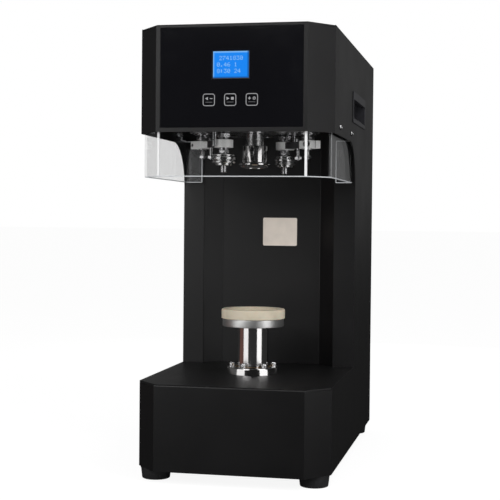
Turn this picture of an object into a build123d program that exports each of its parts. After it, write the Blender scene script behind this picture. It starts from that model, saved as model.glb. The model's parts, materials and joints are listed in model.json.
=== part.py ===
from build123d import *
import math
import os

# Desktop can seamer, in millimetres.
# The machine stands on Z = 0, its front faces -Y and X runs to the right of someone facing it.
# The origin is the middle of the footprint.

# Casing
width = 250.0
depth = 470.0
height = 575.0
foot_height = 15.0
sheet = 1.5
seam_gap = 0.2
chamfer_x = 29.0
chamfer_y = 34.5
base_top = 125.0
head_height = 133.5
top_edge_radius = 2.5
column_setback = 249.0
column_flange = 30.0
recess_run = 23.0
recess_depth = 23.4
throat_radius = 60.0
bend_radius = 2.0
rear_recess = 5.0
lip = 14.0
column_sheet_overlap = 26.5
base_plate_thickness = 2.0

# Feet
foot_radius = 20.0
foot_taper = 2.0
foot_inset_x = 22.0
foot_inset_front = 38.0
foot_inset_rear = 32.0
foot_screw_recess_radius = 7.0
foot_screw_recess_depth = 6.0

# Carry handles, moulded cups in the sides of the head
handle_length = 144.0
handle_height = 43.5
handle_setback = 281.0
handle_drop = 84.5
handle_bezel = 1.2
handle_border = 4.0
handle_wall = 2.0
handle_cup_depth = 24.0
handle_corner_radius = 4.0
handle_grip_lip = 5.0
handle_sill_rise = 9.0

# Clear guard round the seaming head
guard_inset = 4.0
guard_thickness = 3.0
guard_drop = 55.5
guard_overlap = 4.5
guard_tab_height = 20.5
guard_rear_gap = 2.0
guard_return = 24.0
guard_bend_radius = 4.0
guard_screw_front_setback = 85.0
guard_screw_rear_setback = 199.0
guard_screw_rise = 11.0
guard_tab_margin = 14.0

# Button-head screws of the casing
screw_head_radius = 3.6
screw_head_height = 2.2
screw_radius = 2.0
screw_hole_clearance = 0.2
screw_nut_radius = 4.0
screw_nut_height = 3.2
spacer_radius = 5.0
rear_screw_length = 9.0
rear_screw_inset_z = 30.0
rear_screw_rows = 4

# Control glass, display and board behind it
glass_width = 181.0
glass_thickness = 1.8
glass_recess = 2.0
glass_bottom_border = 5.5
glass_top_border = 4.0
glass_gap = 0.2
glass_backing_rim = 6.0
display_width = 47.0
display_height = 34.4
display_x = -0.5
display_drop = 50.8
display_frame = 4.0
display_gap = 0.2
display_body_depth = 6.0
display_board_margin = 8.0
board_thickness = 1.6
board_width = 150.0
board_height = 44.0
board_drop = 98.0
board_standoff = 8.0
board_part_rise = 11.0
standoff_radius = 3.0
standoff_inset = 5.0

# Parts on the control board: middle, width and height as shares of the board's, and share of the rise
board_parts = (
    (-0.30, 0.09, 0.09, 0.32, 0.2),
    (-0.07, -0.14, 0.15, 0.23, 0.5),
    (0.23, 0.07, 0.07, 0.55, 0.8),
    (0.39, -0.09, 0.06, 0.36, 1.0),
)

# Blank label on the column
label_width = 50.0
label_height = 40.5
label_thickness = 0.3
label_corner_radius = 2.0
label_x = 13.0
label_drop = 125.5

# Seaming axis, shared by the lift and the seaming head
axis_setback = 149.0

# Seaming head, heights measured from the head's bottom edge
arm_drop = 12.5
arm_thickness = 10.5
arm_relief = 1.0
carrier_gap = 9.5
carrier_thickness = 12.0
carrier_radius = 88.0
carrier_chamfer = 1.0
lever_gap = 1.0
lever_thickness = 5.0
cam_gap = 1.0
cam_thickness = 6.0
cam_lift = 3.2
cam_nose_radius = 40.0
plate_gap = 3.0
head_plate_thickness = 8.0
head_plate_front_margin = 39.0
head_plate_rear_share = 0.675
head_plate_corner = 20.0
head_plate_flange = 20.0
head_plate_flange_thickness = 3.0
head_plate_flange_inset = 6.0

# Roller arms: places in the carrier, measured from its axis
pivot_radius_from_axis = 72.4
roller_x = 36.0
roller_y = 30.0
arm_eye_radius = 12.5
arm_bar_width = 16.0
clamp_width = 20.0
clamp_tail = 16.0
clamp_slit = 1.5
clamp_corner_radius = 2.5
pinch_screw_offset = 11.5
cap_screw_radius = 2.5
cap_head_radius = 4.25
cap_head_height = 5.0
cap_nut_radius = 4.6
cap_nut_height = 4.0
stop_screw_share = 0.41
stop_screw_drop = 15.0
pivot_shaft_radius = 6.0
pivot_tip_radius = 2.75
pivot_tip_drop = 14.0
pivot_shoulder = 2.0
bush_wall = 3.0
bush_flange = 1.5
bush_flange_margin = 2.0
stop_pin_radius = 3.0
stop_pin_gap = 0.3
lever_hub_radius = 10.0
lever_width = 12.0
lever_reach = 26.0
lever_nose_radius = 8.0
lever_nose_gap = 0.3
spring_wire_radius = 0.8
spring_gap = 1.2
spring_turns = 4
spring_pitch = 1.5
lightening_hole_radius = 13.0
lightening_hole_offset = 60.0

# Seaming rollers and their studs
stud_radius = 5.0
stud_head_across_flats = 17.0
stud_head_height = 5.5
stud_collar_height = 3.0
stud_collar_radius = 6.5
stud_nut_across_flats = 13.0
stud_nut_height = 4.0
stud_nut_gap = 3.2
roller_pin_radius = 3.5
roller_cap_radius = 4.35
roller_cap_length = 9.0
roller_end_gap = 0.3
roller_height = 15.0
roller_drop = 9.0
first_roller_radius = 16.0
first_groove_depth = 2.3
second_roller_radius = 14.0
second_groove_depth = 1.2
roller_hub_radius = 11.0
roller_hub_height = 3.0
roller_lower_lip = 2.2
roller_groove_height = 3.0
roller_upper_lip = 3.3
roller_neck_height = 0.8
roller_dust_cap_height = 2.9
roller_dust_cap_inset = 1.5

# Chuck, its fixed shaft, and the two driven sleeves
running_clearance = 0.05
shaft_radius = 10.0
shaft_shoulder_radius = 12.5
shaft_shoulder_gap = 0.5
shaft_top_stub = 4.0
chuck_body_radius = 17.25
chuck_body_height = 23.5
chuck_lip_radius = 21.0
chuck_lip_height = 3.5
chuck_pilot_radius = 19.0
chuck_pilot_height = 3.5
chuck_recess_radius = 13.0
chuck_recess_depth = 2.0
chuck_floor = 7.0
chuck_screw_hole_radius = 2.6
chuck_screw_height = 18.0
carrier_sleeve_radius = 17.5
cam_sleeve_radius = 25.0
bearing_radius = 40.0
bearing_width = 16.0
bearing_spacer = 2.0
bearing_land = 4.0
bearing_shield_recess = 0.6
bearing_race = 4.0
housing_wall = 8.0
housing_flange_radius = 58.0
housing_flange_height = 8.0
sleeve_hole_clearance = 3.0
tooth_pitch = 5.0
tooth_depth = 2.0
carrier_teeth = 60
cam_teeth = 59
motor_teeth = 24
pulley_gap = 1.5
belt_width = 7.4
belt_thickness = 1.8
belt_gap = 0.3
pulley_flange = 1.0
pulley_flange_rise = 2.5
carrier_hub_radius = 24.0
carrier_hub_height = 5.0
bridge_gap = 4.5
bridge_thickness = 8.0
bridge_width = 30.0
bridge_post_x = 68.0
bridge_post_radius = 6.0
bridge_end_margin = 9.0

# Seaming motor, upright in the column
motor_gap = 32.6
motor_radius = 40.0
motor_length = 108.0
motor_boss_radius = 15.0
motor_boss_height = 5.0
motor_boss_gap = 0.2
motor_end_cap = 12.0
motor_cap_step = 1.5
motor_shaft_radius = 6.0
motor_shaft_depth = 40.0

# Can lift: pad, disc, ram, screw and its motor
pad_radius = 43.0
pad_thickness = 13.0
pad_edge_radius = 1.2
seat_radius = 33.6
seat_depth = 5.0
disc_radius = 41.5
disc_thickness = 10.5
disc_edge_radius = 1.0
ram_radius = 21.0
ram_bore_radius = 15.0
ram_crown = 10.0
ram_rest_rise = 64.0
flange_radius = 36.0
flange_thickness = 9.5
flange_edge_radius = 1.5
flange_screw_count = 6
flange_screw_circle = 57.0
flange_screw_turn = 14.0
guide_wall = 4.0
guide_length = 59.5
lift_frame_plate = 8.0
lift_frame_half_width = 55.0
lift_frame_half_depth = 45.0
lift_frame_wall = 6.0
lift_frame_foot = 15.0
lift_frame_foot_thickness = 5.0
lift_motor_size = 56.4
lift_motor_corner = 5.0
lift_motor_height = 38.0
lift_pilot_radius = 19.0
lift_pilot_height = 2.7
lift_rest_gap = 0.3
nut_flange_radius = 20.0
nut_flange_thickness = 4.0
nut_length = 16.0
lead_screw_radius = 5.0
lead_screw_sink = 25.0
lead_screw_rise = 92.0

# Power supply and motor driver on the base plate
supply_x = 35.0
supply_rear_gap = 34.0
supply_length = 129.0
supply_width = 98.0
supply_height = 38.0
supply_terminal_depth = 14.0
supply_terminal_height = 20.0
driver_side_gap = 24.0
driver_rear_gap = 78.5
driver_length = 110.0
driver_width = 62.0
driver_height = 26.0
driver_fin_height = 14.0
driver_fin_thickness = 2.0
driver_fin_count = 7
driver_base_height = 10.0

# Power inlet and rocker switch at the rear
inlet_side_gap = 30.0
inlet_z = 75.0
inlet_flange_width = 50.0
inlet_flange_height = 58.0
inlet_flange_thickness = 3.0
inlet_body_width = 28.0
inlet_body_height = 48.0
inlet_body_depth = 22.0
inlet_body_gap = 0.2
socket_width = 24.0
socket_height = 17.0
socket_depth = 15.0
socket_drop = 10.5
pin_width = 2.0
pin_height = 4.0
pin_length = 9.0
pin_spacing = 7.0
pin_offset = 2.0
rocker_rise = 13.0
rocker_width = 18.4
rocker_radius = 6.2
rocker_gap = 0.4
rocker_depth = 4.0
rocker_crown = 2.0
rocker_shoulder = 0.6
rocker_tilt = 10.0
rocker_pivot_sink = 2.0
rocker_pin_radius = 1.2
rocker_pin_reach = 0.8

# Vents in the rear panel
vent_columns = 3
vent_rows = 9
vent_length = 40.0
vent_height = 3.0
vent_spacing_x = 56.0
vent_spacing_z = 9.0
vent_drop = 105.0

# Places that follow from the sizes above
half = width / 2
front = -depth / 2
back = depth / 2
head_bottom = height - head_height
seam_y = front + chamfer_y
column_y = front + column_setback
recess_y = column_y + recess_depth
axis_y = front + axis_setback
panel_inner = half - sheet
inner_x = panel_inner - seam_gap
base_floor = foot_height + base_plate_thickness
base_ceiling = base_top - sheet
head_ceiling = height - sheet
rear_face = back - rear_recess
rear_inner = rear_face - sheet
chamfer_angle = math.atan2(chamfer_y, chamfer_x)
column_sheet_top = head_bottom + column_sheet_overlap
handle_y = front + handle_setback
handle_z = height - handle_drop
guard_screw_front_y = front + guard_screw_front_setback
guard_screw_rear_y = front + guard_screw_rear_setback
display_z = height - display_drop
board_z = height - board_drop
label_z = head_bottom - label_drop
vent_z = height - vent_drop
motor_y = recess_y + motor_gap + motor_radius
head_plate_rear_y = motor_y + (rear_inner - motor_y) * head_plate_rear_share
supply_y = rear_inner - supply_rear_gap - supply_length / 2
driver_x = driver_side_gap + driver_width / 2 - half
inlet_x = inlet_side_gap + inlet_flange_width / 2 - half
driver_y = rear_inner - driver_rear_gap - driver_length / 2

arm_bottom = head_bottom - arm_drop
arm_top = arm_bottom + arm_thickness
carrier_bottom = arm_top + carrier_gap
carrier_top = carrier_bottom + carrier_thickness
lever_bottom = carrier_top + lever_gap
lever_top = lever_bottom + lever_thickness
cam_bottom = lever_top + cam_gap
cam_top = cam_bottom + cam_thickness
plate_bottom = cam_top + plate_gap
plate_top = plate_bottom + head_plate_thickness
housing_top = plate_top + 2 * bearing_width + bearing_spacer
pulley_height = belt_width + 2 * belt_gap + 2 * pulley_flange
cam_pulley_bottom = housing_top + pulley_gap
cam_pulley_top = cam_pulley_bottom + pulley_height
carrier_pulley_bottom = cam_pulley_top + pulley_gap
carrier_pulley_top = carrier_pulley_bottom + pulley_height
carrier_hub_top = carrier_pulley_top + carrier_hub_height
bridge_bottom = carrier_hub_top + bridge_gap
bridge_top = bridge_bottom + bridge_thickness
bush_radius = pivot_shaft_radius + bush_wall
bush_flange_radius = bush_radius + bush_flange_margin

arm_run_x = pivot_radius_from_axis - roller_x
arm_length = math.hypot(arm_run_x, roller_y)
arm_out = (arm_run_x / arm_length, -roller_y / arm_length)
arm_across = (-arm_out[1], arm_out[0])
arm_turn = math.degrees(math.atan2(arm_out[1], arm_out[0]))
lever_nose_distance = math.hypot(pivot_radius_from_axis, lever_reach)
cam_radius = lever_nose_distance - lever_nose_radius - lever_nose_gap
cam_lobe_angle = 90 - math.degrees(math.atan2(lever_reach, pivot_radius_from_axis))

roller_bottom = arm_bottom - roller_drop - roller_height
roller_top = roller_bottom + roller_height
chuck_top = roller_bottom + chuck_body_height + 4.5
chuck_lip_top = chuck_top - chuck_body_height
chuck_bottom = chuck_lip_top - chuck_lip_height - chuck_pilot_height

lift_motor_top = base_floor + lift_motor_height
nut_bottom = lift_motor_top + lift_pilot_height + lift_rest_gap
ram_bottom = nut_bottom + nut_flange_thickness
disc_bottom = base_top + ram_rest_rise
pad_bottom = disc_bottom + disc_thickness
pad_top = pad_bottom + pad_thickness
flange_top = base_top + flange_thickness
guide_radius = ram_radius + guide_wall

glass_bottom = head_bottom + glass_bottom_border
glass_top = height - glass_top_border
backing_front = front + glass_recess
backing_rear = backing_front + sheet


def block(x0, x1, y0, y1, z0, z1):
    """Box between two opposite corners."""
    return Pos((x0 + x1) / 2, (y0 + y1) / 2, (z0 + z1) / 2) * Box(x1 - x0, y1 - y0, z1 - z0)


def rod(radius, z0, z1, x=0.0, y=0.0):
    """Upright cylinder between two heights."""
    return Pos(x, y, (z0 + z1) / 2) * Cylinder(radius, z1 - z0)


def tube(outer, inner, z0, z1, x=0.0, y=0.0):
    """Upright ring between two heights."""
    return rod(outer, z0, z1, x, y) - rod(inner, z0 - 1, z1 + 1, x, y)


def turned(profile):
    """Solid turned about the Z axis from a closed outline of radius and height."""
    return revolve(Plane.XZ * make_face(Polyline(*profile, close=True)), Axis.Z)


def hexagon(across_flats, z0, z1, x=0.0, y=0.0):
    """Upright hexagonal prism."""
    corner_radius = across_flats / math.sqrt(3)
    return extrude(Pos(x, y, z0) * RegularPolygon(corner_radius, 6), z1 - z0)


def along_x(shape, x, y, z):
    """Turn an upright shape so that its +Z end points along +X, and place it."""
    return Pos(x, y, z) * Rot(0, 90, 0) * shape


def along_y(shape, x, y, z):
    """Turn an upright shape so that its +Z end points along +Y, and place it."""
    return Pos(x, y, z) * Rot(-90, 0, 0) * shape


def on_axis(shape):
    """Move a shape made about the Z axis to the seaming axis."""
    return Pos(0, axis_y, 0) * shape


def group(*shapes):
    """Several separate solids in one node."""
    return Compound(children=[solid for shape in shapes for solid in shape.solids()])


def mirrored(shape):
    """Left-hand copy of a right-hand piece."""
    return mirror(shape, Plane.YZ)


def folded(path, thickness, radius, z0, z1, side):
    """Upright folded sheet: a path of one face, thickened to one side, with rounded bends."""
    line = FilletPolyline(*path, radius=radius)
    return extrude(Pos(0, 0, z0) * make_face(offset(line, amount=thickness, side=side)), z1 - z0)


def plan_corners(inset):
    """Corners of the front plan, moved in by a distance: front x, side x, side y, front y."""
    front_x = half - chamfer_x - inset * math.tan(chamfer_angle / 2)
    side_y = seam_y + inset * math.tan((math.pi / 2 - chamfer_angle) / 2)
    return front_x, half - inset, side_y, front + inset


def front_plan(rear, inset=0.0):
    """Plan shared by head and base: flat front, two chamfered corners and straight sides."""
    front_x, side_x, side_y, front_y = plan_corners(inset)
    right = [(front_x, front_y), (side_x, side_y), (side_x, rear)]
    left = [(-x, y) for x, y in reversed(right)]
    return make_face(Polyline(*left, *right, close=True))


def cover(bottom, top, rear):
    """Welded cover: front, two chamfers and a top that runs back between the side panels."""
    outer = extrude(Pos(0, 0, bottom) * front_plan(rear), top - bottom)
    for x0, x1 in ((-half - 1, -inner_x), (inner_x, half + 1)):
        outer -= block(x0, x1, seam_y, rear + 1, bottom - 1, top + 1)
    top_edges = outer.edges().filter_by(lambda e: abs(e.center().Z - top) < 0.01 and e.center().Y < seam_y)
    outer = fillet(top_edges, top_edge_radius)
    shell = outer - extrude(Pos(0, 0, bottom - 1) * front_plan(rear + 1, sheet), top - sheet - bottom + 1)
    for x0, x1 in ((-inner_x, sheet - inner_x), (inner_x - sheet, inner_x)):
        shell += block(x0, x1, seam_y - 2, seam_y + lip, bottom + lip, top - sheet)
    return shell


def make_base_cover():
    """Cover of the base, open below and behind, with the holes for the ram and its flange."""
    shell = cover(foot_height, base_top, recess_y + lip)
    return shell - on_axis(ram_flange_holes(base_ceiling - 1, base_top + 1))


def make_head_cover():
    """Cover of the head, with the sunk field that carries the control glass."""
    shell = cover(head_bottom, height, back)
    field = glass_width / 2 + glass_gap
    rim = glass_width / 2 + glass_backing_rim
    shell += block(-rim, rim, front + sheet, backing_rear, glass_bottom - glass_backing_rim / 2, head_ceiling)
    shell -= block(-field, field, front - 1, backing_front, glass_bottom - glass_gap, glass_top + glass_gap)
    opening_x = display_width / 2 + display_frame + display_gap
    opening_z = display_height / 2 + display_frame + display_gap
    shell -= block(display_x - opening_x, display_x + opening_x, front, backing_rear + 1,
                   display_z - opening_z, display_z + opening_z)
    return shell


def make_side_panel():
    """Right side panel: one C-shaped sheet for head, column and base, with its inner flanges."""
    panel_front = seam_y + seam_gap
    corners = [(panel_front, foot_height), (back, foot_height), (back, height), (panel_front, height),
               (panel_front, head_bottom), (column_y, head_bottom), (column_y, base_top),
               (panel_front, base_top)]
    outline = make_face(Polyline(*corners, close=True))
    throat = outline.vertices().sort_by_distance((column_y, head_bottom, 0))[0]
    outline = fillet(throat, throat_radius)
    panel = extrude(Plane.YZ.offset(panel_inner) * outline, sheet)
    panel += block(half - column_flange, half, column_y, column_y + sheet,
                   base_top, head_bottom - throat_radius)
    panel += block(panel_inner - lip, panel_inner, rear_inner - sheet, rear_inner,
                   base_floor + seam_gap, head_ceiling - seam_gap)
    panel += block(panel_inner - lip, panel_inner, seam_y + 2 * lip, rear_inner, base_floor,
                   base_floor + sheet)
    cup_y = handle_length / 2 - handle_border
    cup_z = handle_height / 2 - handle_border
    panel -= block(half - lip, half + 1, handle_y - cup_y, handle_y + cup_y, handle_z - cup_z,
                   handle_z + cup_z)
    for y in (guard_screw_front_y, guard_screw_rear_y):
        hole = rod(screw_radius + screw_hole_clearance, -lip, lip)
        panel -= along_x(hole, half, y, head_bottom + guard_screw_rise)
    for z in rear_screw_heights():
        panel -= along_y(rod(screw_radius + screw_hole_clearance, -lip, lip), rear_screw_x(), rear_inner, z)
    return panel


def make_column_front_sheet():
    """Front of the column: two wings behind the side flanges and a recessed middle."""
    wing_y = column_y + sheet + seam_gap
    wing_x = half - column_flange
    middle_x = wing_x - recess_run
    right = [(middle_x, recess_y), (wing_x, wing_y), (inner_x, wing_y)]
    left = [(-x, y) for x, y in reversed(right)]
    return folded(left + right, sheet, bend_radius, base_top, column_sheet_top, Side.LEFT)


def make_base_plate():
    """Floor of the base, between the covers."""
    plan = front_plan(rear_inner - sheet - seam_gap, sheet + seam_gap)
    return extrude(Pos(0, 0, foot_height) * plan, base_plate_thickness)


def rear_screw_heights():
    """Heights of the rear panel's screws."""
    first = base_floor + rear_screw_inset_z
    last = head_ceiling - rear_screw_inset_z
    return [first + i * (last - first) / (rear_screw_rows - 1) for i in range(rear_screw_rows)]


def rear_screw_x():
    """Distance of the rear panel's screws from the middle."""
    return panel_inner - lip / 2


def make_rear_panel():
    """Flat rear panel with vent slots, the inlet's opening and its screw holes."""
    panel = block(-inner_x, inner_x, rear_inner, rear_face, base_floor, head_ceiling - seam_gap)
    places = GridLocations(vent_spacing_x, vent_spacing_z, vent_columns, vent_rows)
    slots = places * SlotOverall(vent_length, vent_height)
    panel -= extrude(Plane.XZ.offset(-rear_face - 1) * Pos(0, vent_z) * Sketch(children=slots), 2 * sheet + 2)
    body_x = inlet_body_width / 2 + inlet_body_gap
    body_z = inlet_body_height / 2 + inlet_body_gap
    panel -= block(inlet_x - body_x, inlet_x + body_x, rear_inner - 1, rear_face + 1,
                   inlet_z - body_z, inlet_z + body_z)
    for x in (-rear_screw_x(), rear_screw_x()):
        for z in rear_screw_heights():
            panel -= along_y(rod(screw_radius + screw_hole_clearance, -lip, lip), x, rear_face, z)
    return panel


def make_rubber_feet():
    """Four tapered rubber feet, each with a sunk screw hole below."""
    profile = [(foot_screw_recess_radius, 0), (foot_radius - foot_taper, 0), (foot_radius, foot_height),
               (0, foot_height), (0, foot_screw_recess_depth),
               (foot_screw_recess_radius, foot_screw_recess_depth)]
    foot = turned(profile)
    places = [(x, y) for x in (foot_inset_x - half, half - foot_inset_x)
              for y in (front + foot_inset_front, back - foot_inset_rear)]
    return group(*[Pos(x, y, 0) * foot for x, y in places])


def make_carry_handle():
    """Right-hand carry handle: a moulded cup with a bezel, a grip lip above and a sloped sill."""
    bezel = extrude(Plane.YZ.offset(half) * Pos(handle_y, handle_z)
                    * RectangleRounded(handle_length, handle_height, handle_corner_radius), handle_bezel)
    cup_y = handle_length / 2 - handle_border - seam_gap
    cup_z = handle_height / 2 - handle_border - seam_gap
    floor_x = half - handle_cup_depth
    cup = block(floor_x, half, handle_y - cup_y, handle_y + cup_y, handle_z - cup_z, handle_z + cup_z)
    low = handle_z - cup_z + handle_wall
    high = handle_z + cup_z - handle_wall
    mouth = half + handle_bezel + 1
    pocket = floor_x + handle_wall
    sill = (pocket + half) / 2
    outline = [(mouth, low), (half, low), (sill, low + handle_sill_rise), (pocket, low + handle_sill_rise),
               (pocket, high), (half - handle_grip_lip, high),
               (half - handle_grip_lip, high - handle_grip_lip),
               (mouth, high - handle_grip_lip)]
    rear_side = handle_y + cup_y - handle_wall
    hollow = extrude(Plane.XZ.offset(-rear_side) * make_face(Polyline(*outline, close=True)),
                     2 * (cup_y - handle_wall))
    return bezel + cup - hollow


def guard_top():
    """Height of the guard's side tabs."""
    return head_bottom + guard_tab_height


def make_guard_window():
    """Clear guard: one bent sheet inside the head, with side tabs for its screws."""
    front_x, side_x, side_y, front_y = plan_corners(guard_inset)
    rear = column_y - guard_rear_gap
    right = [(front_x, front_y), (side_x, side_y), (side_x, rear), (side_x - guard_return, rear)]
    left = [(-x, y) for x, y in reversed(right)]
    sheet_body = folded(left + right, guard_thickness, guard_bend_radius,
                        head_bottom - guard_drop, guard_top(), Side.LEFT)
    edge = head_bottom + guard_overlap
    sheet_body -= block(-half, half, front, guard_screw_front_y - guard_tab_margin, edge, guard_top() + 1)
    sheet_body -= block(-half, half, guard_screw_rear_y + guard_tab_margin, rear + 1, edge, guard_top() + 1)
    for x in (-side_x, side_x):
        for y in (guard_screw_front_y, guard_screw_rear_y):
            hole = rod(screw_radius + screw_hole_clearance, -lip, lip)
            sheet_body -= along_x(hole, x, y, head_bottom + guard_screw_rise)
    return sheet_body


def make_guard_spacers():
    """Four rings that hold the guard off the side panels."""
    outer_face = half - guard_inset
    ring = tube(spacer_radius, screw_radius + screw_hole_clearance, 0, panel_inner - outer_face)
    z = head_bottom + guard_screw_rise
    right = [along_x(ring, outer_face, y, z) for y in (guard_screw_front_y, guard_screw_rear_y)]
    return group(*right, *[mirrored(piece) for piece in right])


def button_screw(length):
    """Button-head screw, its head's seat at Z = 0 and its shank below."""
    dome = [(0, 0), (screw_head_radius, 0), (screw_head_radius, screw_head_height / 3),
            (screw_head_radius * 0.6, screw_head_height), (0, screw_head_height)]
    return turned(dome) + rod(screw_radius, -length, 0)


def make_casing_screws():
    """Button-head screws of the guard, with their nuts, and of the rear panel."""
    z = head_bottom + guard_screw_rise
    grip = sheet + (panel_inner - half + guard_inset) + guard_thickness
    screw = button_screw(grip + screw_nut_height + 1)
    nut = hexagon(screw_nut_radius * math.sqrt(3), -grip - screw_nut_height, -grip)
    nut -= rod(screw_radius, -lip, 0)
    right = []
    for y in (guard_screw_front_y, guard_screw_rear_y):
        right += [along_x(screw, half, y, z), along_x(nut, half, y, z)]
    rear = [along_y(button_screw(rear_screw_length), x, rear_face, height_z)
            for x in (-rear_screw_x(), rear_screw_x()) for height_z in rear_screw_heights()]
    return group(*right, *[mirrored(piece) for piece in right], *rear)


def make_control_glass():
    """Glass over the head's front, with a window in front of the display."""
    half_glass = glass_width / 2
    glass = block(-half_glass, half_glass, backing_front - glass_thickness, backing_front, glass_bottom,
                  glass_top)
    return glass - block(display_x - display_width / 2, display_x + display_width / 2, front - 1,
                         backing_front + 1,
                         display_z - display_height / 2, display_z + display_height / 2)


def standoffs(x0, x1, z0, z1, y0, y1):
    """Four posts at the corners of a board, between the glass backing and the board."""
    post = rod(standoff_radius, 0, y1 - y0)
    return [along_y(post, x, y0, z) for x in (x0 + standoff_inset, x1 - standoff_inset)
            for z in (z0 + standoff_inset, z1 - standoff_inset)]


def make_display_module():
    """Display behind the window: its bezel, its own board and four posts."""
    face_y = backing_front + display_gap
    body_rear = face_y + display_body_depth
    body_x = display_width / 2 + display_frame
    body_z = display_height / 2 + display_frame
    module = block(display_x - body_x, display_x + body_x, face_y, body_rear, display_z - body_z,
                   display_z + body_z)
    board_x = body_x + display_board_margin
    board_z_reach = body_z + display_board_margin / 2
    module += block(display_x - board_x, display_x + board_x, body_rear, body_rear + board_thickness,
                    display_z - board_z_reach, display_z + board_z_reach)
    for post in standoffs(display_x - board_x, display_x + board_x,
                          display_z - board_z_reach - standoff_inset / 2,
                          display_z + board_z_reach + standoff_inset / 2, backing_rear, body_rear):
        module += post
    return module


def make_control_board():
    """Touch-key and control board behind the lower half of the glass, on four posts."""
    board_y = backing_rear + board_standoff
    x0, x1 = -board_width / 2, board_width / 2
    z0, z1 = board_z - board_height / 2, board_z + board_height / 2
    board = block(x0, x1, board_y, board_y + board_thickness, z0, z1)
    for post in standoffs(x0, x1, z0, z1, backing_rear, board_y):
        board += post
    parts_y = board_y + board_thickness
    for middle_x, middle_z, share_x, share_z, share_rise in board_parts:
        x, z = middle_x * board_width, board_z + middle_z * board_height
        reach_x, reach_z = share_x * board_width / 2, share_z * board_height / 2
        board += block(x - reach_x, x + reach_x, parts_y, parts_y + share_rise * board_part_rise,
                       z - reach_z, z + reach_z)
    return board


def make_blank_label():
    """Thin blank label on the recessed middle of the column."""
    place = Plane.XZ.offset(-recess_y) * Pos(label_x, label_z)
    return extrude(place * RectangleRounded(label_width, label_height, label_corner_radius), label_thickness)


def make_head_plate():
    """Thick plate that carries the seaming head and the motor, notched for the carry handles."""
    handle_front = handle_y - handle_length / 2 - handle_border
    handle_rear = handle_y + handle_length / 2 + handle_border
    narrow_x = half - handle_cup_depth - handle_border
    front_y = front + head_plate_front_margin
    right = [(inner_x - head_plate_corner, front_y), (inner_x, front_y + head_plate_corner),
             (inner_x, handle_front), (narrow_x, handle_front), (narrow_x, handle_rear),
             (inner_x, handle_rear), (inner_x, head_plate_rear_y)]
    left = [(-x, y) for x, y in reversed(right)]
    plan = make_face(Polyline(*left, *right, close=True))
    plan -= Pos(0, axis_y) * Circle(cam_sleeve_radius + sleeve_hole_clearance)
    plan -= Pos(0, motor_y) * Circle(motor_boss_radius + motor_boss_gap)
    plate = extrude(Pos(0, 0, plate_bottom) * plan, head_plate_thickness)
    spans = ((front_y + head_plate_corner + head_plate_flange_inset, handle_front - head_plate_flange_inset),
             (handle_rear + head_plate_flange_inset, head_plate_rear_y - head_plate_flange_inset))
    for y0, y1 in spans:
        flange = block(inner_x - head_plate_flange_thickness, inner_x, y0, y1, plate_top,
                       plate_top + head_plate_flange)
        plate += flange
        plate += mirrored(flange)
    return plate


def make_spindle_housing():
    """Bearing housing on the head plate, with a land between the two bearings."""
    outer = bearing_radius + housing_wall
    low_land = plate_top + bearing_width
    profile = [(bearing_radius, plate_top), (housing_flange_radius, plate_top),
               (housing_flange_radius, plate_top + housing_flange_height),
               (outer, plate_top + housing_flange_height), (outer, housing_top),
               (bearing_radius, housing_top),
               (bearing_radius, low_land + bearing_spacer),
               (bearing_radius - bearing_land, low_land + bearing_spacer),
               (bearing_radius - bearing_land, low_land), (bearing_radius, low_land)]
    return on_axis(turned(profile))


def make_spindle_bearings():
    """Two ball bearings, each with sunk shields between its races."""
    inner = cam_sleeve_radius + running_clearance
    top = bearing_width
    step_in = inner + bearing_race
    step_out = bearing_radius - bearing_race
    sink = bearing_shield_recess
    profile = [(inner, 0), (step_in, 0), (step_in, sink), (step_out, sink), (step_out, 0),
               (bearing_radius, 0),
               (bearing_radius, top), (step_out, top), (step_out, top - sink), (step_in, top - sink),
               (step_in, top), (inner, top)]
    bearing = turned(profile)
    heights = (plate_top, plate_top + bearing_width + bearing_spacer)
    return group(*[on_axis(Pos(0, 0, z) * bearing) for z in heights])


def make_centre_shaft():
    """Fixed shaft that holds the chuck still, carried by the bridge above."""
    shoulder_top = carrier_bottom - shaft_shoulder_gap
    profile = [(0, chuck_bottom + chuck_floor), (shaft_radius, chuck_bottom + chuck_floor),
               (shaft_radius, chuck_top), (shaft_shoulder_radius, chuck_top),
               (shaft_shoulder_radius, shoulder_top),
               (shaft_radius, shoulder_top), (shaft_radius, bridge_top + shaft_top_stub),
               (0, bridge_top + shaft_top_stub)]
    return on_axis(turned(profile))


def make_chuck():
    """Seaming chuck: pilot and lip that sit in the can end, body, and a hole for its screw."""
    lip_bottom = chuck_lip_top - chuck_lip_height
    slope = chuck_lip_height / 4
    profile = [(0, chuck_bottom + chuck_recess_depth),
               (chuck_recess_radius, chuck_bottom + chuck_recess_depth),
               (chuck_recess_radius, chuck_bottom), (chuck_pilot_radius - slope, chuck_bottom),
               (chuck_pilot_radius, lip_bottom), (chuck_lip_radius, lip_bottom + slope),
               (chuck_lip_radius, chuck_lip_top - slope), (chuck_body_radius, chuck_lip_top + slope),
               (chuck_body_radius, chuck_top - slope), (chuck_body_radius - slope, chuck_top),
               (shaft_radius, chuck_top),
               (shaft_radius, chuck_bottom + chuck_floor), (0, chuck_bottom + chuck_floor)]
    hole = along_y(rod(chuck_screw_hole_radius, 0, chuck_body_radius - shaft_radius + 2), 0,
                   -chuck_body_radius - 1, chuck_lip_top + chuck_screw_height)
    return on_axis(turned(profile) - hole)


def make_shaft_bridge():
    """Bridge over the pulleys: two posts and a bar that grips the fixed shaft."""
    reach = bridge_post_x + bridge_end_margin
    bar = block(-reach, reach, -bridge_width / 2, bridge_width / 2, bridge_bottom, bridge_top)
    bar -= rod(shaft_radius, bridge_bottom - 1, bridge_top + 1)
    for x in (-bridge_post_x, bridge_post_x):
        bar += rod(bridge_post_radius, plate_top, bridge_bottom, x)
    return on_axis(bar)


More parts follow.
